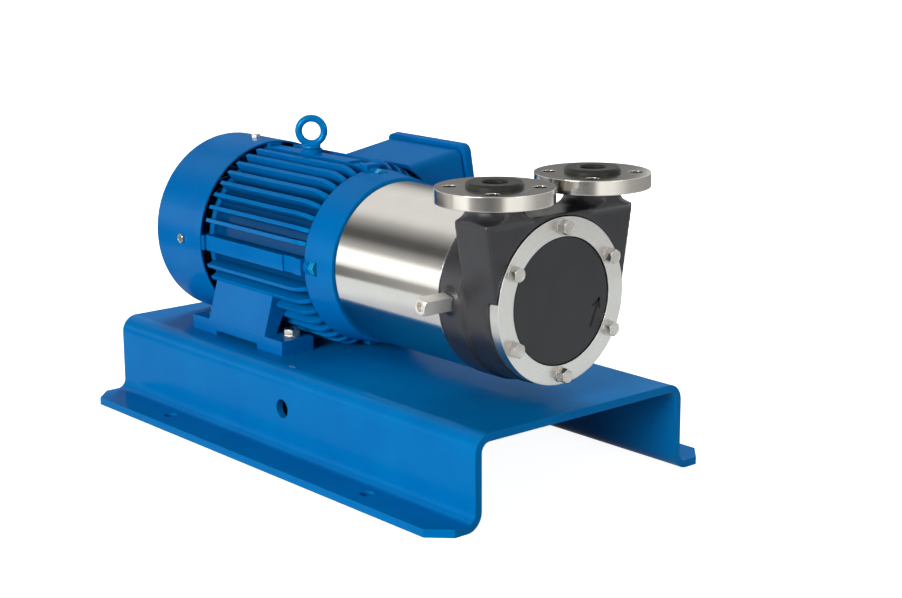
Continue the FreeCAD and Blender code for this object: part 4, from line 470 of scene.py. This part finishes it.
# The bolts' third blue is their paler edge: thinner paint and a painted highlight.
placed_copies(hex_bolt("shield_bolt", 0.004, 0.0315, 0.00125, SHIELD_HEAD),
              round_axis((0, 90, 180, 270), SHIELD_BOLT_CIRCLE_R, SHIELD_LUG_Y, TO_FRONT),
              "end_shield_bolt_set", "end_shield_bolts",
              blue_enamel("bolt_enamel", (0.0, 0.24, 0.52), (0.01, 0.32, 0.60), (0.10, 0.50, 0.75), 0.003, 0.00005,
                          0.0005, (0.5, 0.3)))

# Fan cowl: 2 mm steel sheet drawn to a cup with slots in its back, sprayed blue, smoother than the castings.
# Three bare M6 screws hold it to the frame's lugs.
dress(blue_enamel("cowl_enamel", DEEP_BLUE, LIGHT_BLUE, THIN_HIGHLIT_BLUE, 0.006, 0.00005, 0.0012), "fan_cowl")


def turned_lines(tree, axis, centre):
    """Coordinates round an axis: the distance from it and the place along it."""
    place = tree.nodes.new("ShaderNodeMapping")
    place.inputs["Location"].default_value = tuple(-c for c in centre)
    tree.links.new(on_piece(tree), place.inputs["Vector"])
    results = []
    for kind, factor in (("DOT_PRODUCT", axis), ("MULTIPLY", tuple(1 - abs(a) for a in axis))):
        step = tree.nodes.new("ShaderNodeVectorMath")
        step.operation = kind
        step.inputs[1].default_value = factor
        tree.links.new(place.outputs[0], step.inputs[0])
        results.append(step.outputs)
    length = tree.nodes.new("ShaderNodeVectorMath")
    length.operation = "LENGTH"
    tree.links.new(results[1]["Vector"], length.inputs[0])
    both = tree.nodes.new("ShaderNodeCombineXYZ")
    tree.links.new(length.outputs["Value"], both.inputs["X"])
    tree.links.new(results[0]["Value"], both.inputs["Y"])
    return both.outputs[0]


def turned_metal(name, shade, other_shade, smooth, rough, axis, centre, line, depth, edge):
    """Metal turned on a lathe: fine lines round its axis, faint clouds over them and a painted highlight on its
    edges.
    """
    finish, tree, shader = new_finish(name, {"Metallic": 1.0})
    lines = grain(tree, line, 2, over=turned_lines(tree, axis, centre))
    clouds = grain(tree, 0.03, 3)
    colour = blend_shades(tree, spread(tree, clouds, 0, 1), shade, other_shade)
    rounded = rounded_edges(tree, edge)
    # A painted highlight: the edges are a quarter lighter than the metal.
    colour = blend_shades(tree, edge_share(tree, rounded), colour, tuple(min(1.0, 1.25 * part) for part in shade))
    tree.links.new(colour, shader.inputs["Base Color"])
    tree.links.new(spread(tree, lines, smooth, rough), shader.inputs["Roughness"])
    relief(tree, shader, rounded, [(lines, depth), (grain(tree, 0.002, 2), 0.000004)])
    return finish


ON_AXIS = (0, 0, PUMP_AXIS_Z)
ALONG_Y = (0, 1, 0)
STEEL = (0.66, 0.64, 0.60)
DULL_STEEL = (0.52, 0.50, 0.47)
bolt_steel = turned_metal("bolt_steel", STEEL, DULL_STEEL, 0.20, 0.34, ALONG_Y, ON_AXIS, 0.0006, 0.00001, 0.0004)
COWL_R = 0.1035
COWL_SCREW_Y = 0.228
placed_copies(hex_bolt("cowl_screw", 0.003, 0.011, 0.001), round_axis((0, 90, 180), COWL_R, COWL_SCREW_Y, None),
              "cowl_screw_set", "cowl_screws", bolt_steel)

# Lifting eye: a drop-forged M8 eyebolt turned 40 degrees to the shaft, screwed down on its boss and painted
# with the motor. The ring flows into the collar, so it is remeshed from a merged copy and smoothed.
def reflowed(name, node, lump, rounds):
    """A merged and remeshed copy of a CAD piece whose inner corners flow as cast or forged metal does."""
    source = nodes[node]
    copy = source.copy()
    copy.data = source.data.copy()
    bpy.context.scene.collection.objects.link(copy)
    bpy.ops.object.select_all(action="DESELECT")
    copy.select_set(True)
    bpy.context.view_layer.objects.active = copy
    copy.name = copy.data.name = name
    bpy.ops.object.mode_set(mode="EDIT")
    bpy.ops.mesh.select_all(action="SELECT")
    bpy.ops.mesh.remove_doubles(threshold=0.00001)
    bpy.ops.mesh.normals_make_consistent(inside=False)
    bpy.ops.object.mode_set(mode="OBJECT")
    flow = copy.modifiers.new("flow", "REMESH")
    flow.mode, flow.voxel_size, flow.use_smooth_shade = "VOXEL", lump, True
    bpy.ops.object.modifier_apply(modifier=flow.name)
    ease = copy.modifiers.new("ease", "SMOOTH")
    ease.factor, ease.iterations = 0.5, rounds
    bpy.ops.object.modifier_apply(modifier=ease.name)
    copy.data.materials.clear()
    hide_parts(node)
    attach(copy, "root")
    return copy


FORGING_LUMP = 0.0006
eye = reflowed("forged_eyebolt", "eyebolt", FORGING_LUMP, 10)
# The third blue is the eyebolt's paler edge: thinner paint and a painted highlight.
eye.data.materials.append(blue_enamel("eyebolt_enamel", DEEP_BLUE, LIGHT_BLUE, (0.02, 0.36, 0.74), 0.004, 0.00003,
                                      0.0006, (1.0, 0.5)))

# Foot bolts: four M10 bolts, 16 mm across flats, through the motor's feet and the base, with washers on top
# and below and nuts underneath. All are zinc-plated and left bare.
FOOT_BOLT_X = 0.080
FOOT_BOLT_YS = (0.056, 0.196)
FOOT_WASHER_Z = 0.1095
foot_steel = turned_metal("foot_bolt_steel", (0.70, 0.66, 0.58), (0.56, 0.53, 0.47), 0.18, 0.30, (0, 0, 1), (0, 0, 0),
                          0.0006, 0.00001, 0.0004)
placed_copies(hex_bolt("foot_bolt", 0.005, 0.038, 0.0015),
              [stood((0, 0, 1), (1, 0, 0), (x, y, FOOT_WASHER_Z))
               for x in (-FOOT_BOLT_X, FOOT_BOLT_X) for y in FOOT_BOLT_YS],
              "foot_bolt_set", "foot_bolts", foot_steel)
dress(foot_steel, "foot_washers", "foot_nuts")

# Terminal box: a cast aluminium box on the frame's right side, tilted by 9 degrees, with a lid on a rubber
# gasket held by four M5 screws. Sprayed blue with the motor but smoother, as a die casting is.
dress(blue_enamel("box_enamel", DEEP_BLUE, LIGHT_BLUE, THIN_HIGHLIT_BLUE, 0.005, 0.00008, 0.0012), "terminal_box",
      "terminal_box_lid")
BOX_TILT = math.radians(9.2)
lid_axis = (math.cos(BOX_TILT), 0, math.sin(BOX_TILT))
dress(turned_metal("lid_screw_steel", STEEL, DULL_STEEL, 0.20, 0.34, lid_axis, (0.14, 0.0818, 0.24), 0.0005,
                   0.000008, 0.0003), "lid_screws")


def plain_stuff(name, shade, other_shade, smooth, rough, cloud, skins, edge, gloss=0.35):
    """Plastic, rubber or a sprayed coat: clouds of two shades, its own roughness and a skin in layers.
    The edge is None where the mesh itself is rounded over."""
    finish, tree, shader = new_finish(name, {"Specular IOR Level": gloss})
    colour = blend_shades(tree, spread(tree, grain(tree, cloud, 3), 0, 1), shade, other_shade)
    tree.links.new(colour, shader.inputs["Base Color"])
    tree.links.new(spread(tree, grain(tree, cloud / 6, 3), smooth, rough), shader.inputs["Roughness"])
    normal = rounded_edges(tree, edge) if edge else tree.nodes.new("ShaderNodeNewGeometry").outputs["Normal"]
    relief(tree, shader, normal, [(grain(tree, size, 3), height) for size, height in skins])
    return finish


black_rubber = plain_stuff("black_rubber", (0.020, 0.020, 0.020), (0.032, 0.031, 0.030), 0.6, 0.8, 0.01,
                           [(0.0008, 0.00003)], 0.0004)
dress(black_rubber, "terminal_box_gasket", "cover_seal")
dress(plain_stuff("board_plastic", (0.045, 0.038, 0.032), (0.060, 0.052, 0.045), 0.35, 0.5, 0.015,
                  [(0.0015, 0.00002)], 0.0006), "terminal_board")
brass = turned_metal("turned_brass", (0.78, 0.56, 0.24), (0.66, 0.47, 0.20), 0.2, 0.34, (0, 0, 1), (0.13, 0.08, 0.2),
                     0.0006, 0.00001, 0.0005)
dress(brass, "cable_gland", "blanking_plug", "terminal_studs")

# Inside the motor: ground shaft and bearing rings, cores stacked from half-millimetre sheets, end turns of
# enamelled copper wire, and a moulded fan held by a spring clip behind the fan-end shield.
ground_steel = turned_metal("ground_steel", (0.62, 0.62, 0.62), (0.56, 0.56, 0.57), 0.10, 0.20, ALONG_Y, ON_AXIS,
                            0.0003, 0.000004, 0.0003)
dress(ground_steel, "motor_shaft", "shaft_key", "drive_bearing_outer_ring", "drive_bearing_inner_ring",
      "fan_bearing_outer_ring", "fan_bearing_inner_ring")
dress(bolt_steel, "fan_shield_bolts", "lantern_bolts", "casing_bolts", "carrier_set_screw", "ring_washers")
dress(turned_metal("spring_steel", (0.12, 0.11, 0.10), (0.16, 0.15, 0.14), 0.3, 0.45, ALONG_Y, ON_AXIS, 0.0004,
                   0.000008, 0.0002), "fan_clip")


def layered(name, shade, other_shade, metallic, smooth, rough, pitch, depth):
    """Sheets or wires laid side by side along the shaft: fine stripes square to it."""
    finish, tree, shader = new_finish(name, {"Metallic": metallic})
    stripes = tree.nodes.new("ShaderNodeTexWave")
    stripes.bands_direction = "Y"
    stripes.inputs["Scale"].default_value = math.pi / (10 * pitch)
    stripes.inputs["Distortion"].default_value = 0.4
    tree.links.new(on_piece(tree), stripes.inputs["Vector"])
    colour = blend_shades(tree, stripes.outputs["Fac"], shade, other_shade)
    colour = blend_shades(tree, spread(tree, grain(tree, 0.008, 3), 0, 0.3), colour, shade)
    tree.links.new(colour, shader.inputs["Base Color"])
    tree.links.new(spread(tree, grain(tree, 0.004, 3), smooth, rough), shader.inputs["Roughness"])
    relief(tree, shader, rounded_edges(tree, 0.0005), [(stripes.outputs["Fac"], depth)])
    return finish


dress(layered("core_sheets", (0.20, 0.20, 0.21), (0.34, 0.34, 0.35), 1.0, 0.4, 0.55, 0.0005, 0.00008), "stator_core",
      "rotor_core")
dress(layered("copper_wire", (0.45, 0.17, 0.07), (0.72, 0.33, 0.16), 0.9, 0.25, 0.4, 0.0011, 0.0003),
      "stator_windings")
dress(plain_stuff("fan_plastic", (0.012, 0.012, 0.012), (0.022, 0.022, 0.022), 0.4, 0.55, 0.02,
                  [(0.0015, 0.00003)], 0.0006), "cooling_fan")

# Lantern: a stainless tube with a flange at each end that joins pump and motor. Turned and polished
# to a satin, 172 mm across, with fine lines round it.
dress(turned_metal("lantern_steel", (0.66, 0.65, 0.62), (0.63, 0.615, 0.59), 0.09, 0.15, ALONG_Y, ON_AXIS, 0.0005,
                   0.000008, 0.0006), "lantern")

# Magnetic coupling inside the lantern: a blacked steel cup with a ring of magnets turns with the motor, and
# a lined cup with its own magnets follows it inside the thin shell of carbon-fibre laminate.
dress(turned_metal("blacked_steel", (0.055, 0.055, 0.060), (0.085, 0.082, 0.080), 0.3, 0.45, ALONG_Y, ON_AXIS, 0.0008,
                   0.00001, 0.0006), "outer_magnet_carrier")
dress(turned_metal("magnet_skin", (0.34, 0.34, 0.35), (0.44, 0.44, 0.45), 0.25, 0.4, ALONG_Y, ON_AXIS, 0.0006,
                   0.000006, 0.0004), "outer_magnets", "inner_magnets")
weave_finish, weave_tree, weave_shader = new_finish("carbon_laminate", {"Coat Weight": 0.5, "Coat Roughness": 0.1})
weave = weave_tree.nodes.new("ShaderNodeTexChecker")
weave.inputs["Scale"].default_value = 400.0
weave_tree.links.new(on_piece(weave_tree), weave.inputs["Vector"])
weave_tree.links.new(blend_shades(weave_tree, weave.outputs["Fac"], (0.012, 0.012, 0.013), (0.035, 0.035, 0.038)),
                     weave_shader.inputs["Base Color"])
weave_tree.links.new(spread(weave_tree, grain(weave_tree, 0.004, 3), 0.25, 0.45), weave_shader.inputs["Roughness"])
relief(weave_tree, weave_shader, rounded_edges(weave_tree, 0.0005), [(weave.outputs["Fac"], 0.00004)])
dress(weave_finish, "containment_shell")

# Wet end: impeller, inner carrier and liners are moulded in white fluoropolymer, and the plain bearings,
# thrust rings and fixed shaft are ground ceramic.
dress(plain_stuff("white_fluoropolymer", (0.74, 0.73, 0.70), (0.80, 0.79, 0.77), 0.32, 0.44, 0.02,
                  [(0.004, 0.00003)], 0.0008), "inner_magnet_carrier", "casing_liner", "cover_liner", "impeller")
dress(turned_metal("ground_ceramic", (0.085, 0.087, 0.092), (0.11, 0.11, 0.115), 0.06, 0.14, ALONG_Y, ON_AXIS, 0.0004,
                   0.000002, 0.0005), "bearing_bushes", "thrust_rings", "pump_shaft")

# Pump casing and front cover: ductile iron with two necks, powder-coated in a violet grey over a fine
# orange-peel skin. The cover sits in the casing's mouth, 126 mm across inside its ring.
CASTING_LUMP = 0.0014
casing = reflowed("cast_casing", "pump_casing", CASTING_LUMP, 20)
casing.data.materials.append(plain_stuff("casing_coat", (0.015, 0.0147, 0.0180), (0.020, 0.0195, 0.0235), 0.30, 0.38,
                                         0.02, [(0.0016, 0.00001), (0.008, 0.00002)], None, 0.5))
dress(plain_stuff("cover_coat", (0.018, 0.018, 0.022), (0.023, 0.023, 0.027), 0.36, 0.46, 0.03,
                  [(0.0016, 0.00005), (0.006, 0.00004)], 0.0012, 0.40), "front_cover")

# Arrow for the way of turning: a line 0.3 mm proud low on the cover's right, with an open head at its top.
# It is darker and duller than the cover.
ARROW_TAIL = Vector((0.0400, -0.2768, 0.1611))
ARROW_TIP = Vector((0.0511, -0.2768, 0.1868))
ARROW_WIDTH = 0.0024
ARROW_PROUD = 0.0003
BARB_LENGTH = 0.008
BARB_SPREAD = 0.0045


def cover_line(start, end):
    """A straight raised line on the cover's face from start to end."""
    middle, run = (start + end) / 2, end - start
    bpy.ops.mesh.primitive_cube_add(size=1.0)
    bar = bpy.context.object
    out = Vector((0, -1, 0))
    turn = Matrix((run.normalized(), out.cross(run.normalized()), out)).transposed().to_4x4()
    bar.matrix_world = (Matrix.Translation(middle + out * ARROW_PROUD / 2) @ turn
                        @ Matrix.Diagonal((run.length + ARROW_WIDTH, ARROW_WIDTH, ARROW_PROUD, 1)))
    return bar


along = (ARROW_TIP - ARROW_TAIL).normalized()
beside = along.cross(Vector((0, 1, 0)))
barb = ARROW_TIP - along * BARB_LENGTH
bars = [cover_line(ARROW_TAIL, ARROW_TIP), cover_line(ARROW_TIP, barb + beside * BARB_SPREAD),
        cover_line(ARROW_TIP, barb - beside * BARB_SPREAD)]
bpy.ops.object.select_all(action="DESELECT")
for bar in bars:
    bar.select_set(True)
bpy.ops.object.transform_apply(location=True, rotation=True, scale=True)
bpy.context.view_layer.objects.active = bars[0]
bpy.ops.object.join()
bpy.ops.object.mode_set(mode="EDIT")
bpy.ops.mesh.select_all(action="SELECT")
bpy.ops.mesh.normals_make_consistent(inside=False)
bpy.ops.mesh.bevel(offset=0.0001, segments=2)
bpy.ops.object.mode_set(mode="OBJECT")
bpy.context.scene.cursor.location = (0, 0, 0)
bpy.ops.object.origin_set(type="ORIGIN_CURSOR")
arrow = sole_object("turning_arrow")
arrow.data.materials.append(plain_stuff("dark_arrow_finish", (0.006, 0.006, 0.007), (0.010, 0.010, 0.012), 0.35, 0.5, 0.01,
                                        [(0.0016, 0.00003)], 0.0003, 0.2))
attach(arrow, "root")

# Retaining ring: a stainless ring, 165 mm across and 12 mm thick, that clamps the cover. It is face-turned,
# so its lines run round, and six M8 bolts hold it through thick washers.
dress(turned_metal("ring_steel", (0.64, 0.635, 0.61), (0.60, 0.59, 0.565), 0.26, 0.32, ALONG_Y, ON_AXIS, 0.0005,
                   0.000003, 0.0008), "retaining_ring")
RING_BOLT_CIRCLE_R = 0.073
RING_WASHER_Y = -0.2794
RING_HEAD = 0.0078
placed_copies(hex_bolt("ring_bolt", 0.004, 0.020, 0.00125, RING_HEAD),
              round_axis((30, 90, 150, 210, 270, 330), RING_BOLT_CIRCLE_R, RING_WASHER_Y, TO_FRONT),
              "ring_bolt_set", "ring_bolts",
              turned_metal("ring_bolt_steel", (0.58, 0.56, 0.52), (0.46, 0.445, 0.42), 0.22, 0.34, ALONG_Y, ON_AXIS,
                           0.0006, 0.00001, 0.0004))

# Flanges: loose stainless rings on the casing's necks, 115 mm across and 14 mm thick, four 14 mm holes
# in each. Their rims are rougher turned than their faces. The dark liner's raised face stands above them.
for node in ("discharge_flange", "suction_flange"):
    low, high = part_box(node)
    dress(turned_metal(node + "_steel", (0.60, 0.58, 0.545), (0.56, 0.54, 0.505), 0.12, 0.17, (0, 0, 1),
                       tuple((low + high) / 2), 0.0006, 0.000004, 0.0010), node)
dress(plain_stuff("liner_plastic", (0.022, 0.023, 0.020), (0.030, 0.031, 0.028), 0.34, 0.44, 0.01,
                  [(0.003, 0.00002)], 0.0006, 0.12), "discharge_port_liner", "suction_port_liner")

# Side stub: a square stainless bar, 14 mm across, screwed into a boss of the casing, with a round
# bored end. Sawn and milled, so its lines run across it.
low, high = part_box("side_stub")
dress(turned_metal("stub_steel", (0.74, 0.72, 0.67), (0.66, 0.64, 0.595), 0.40, 0.52, (1, 0, 0),
                   tuple((low + high) / 2), 0.0006, 0.00002, 0.0007), "side_stub")
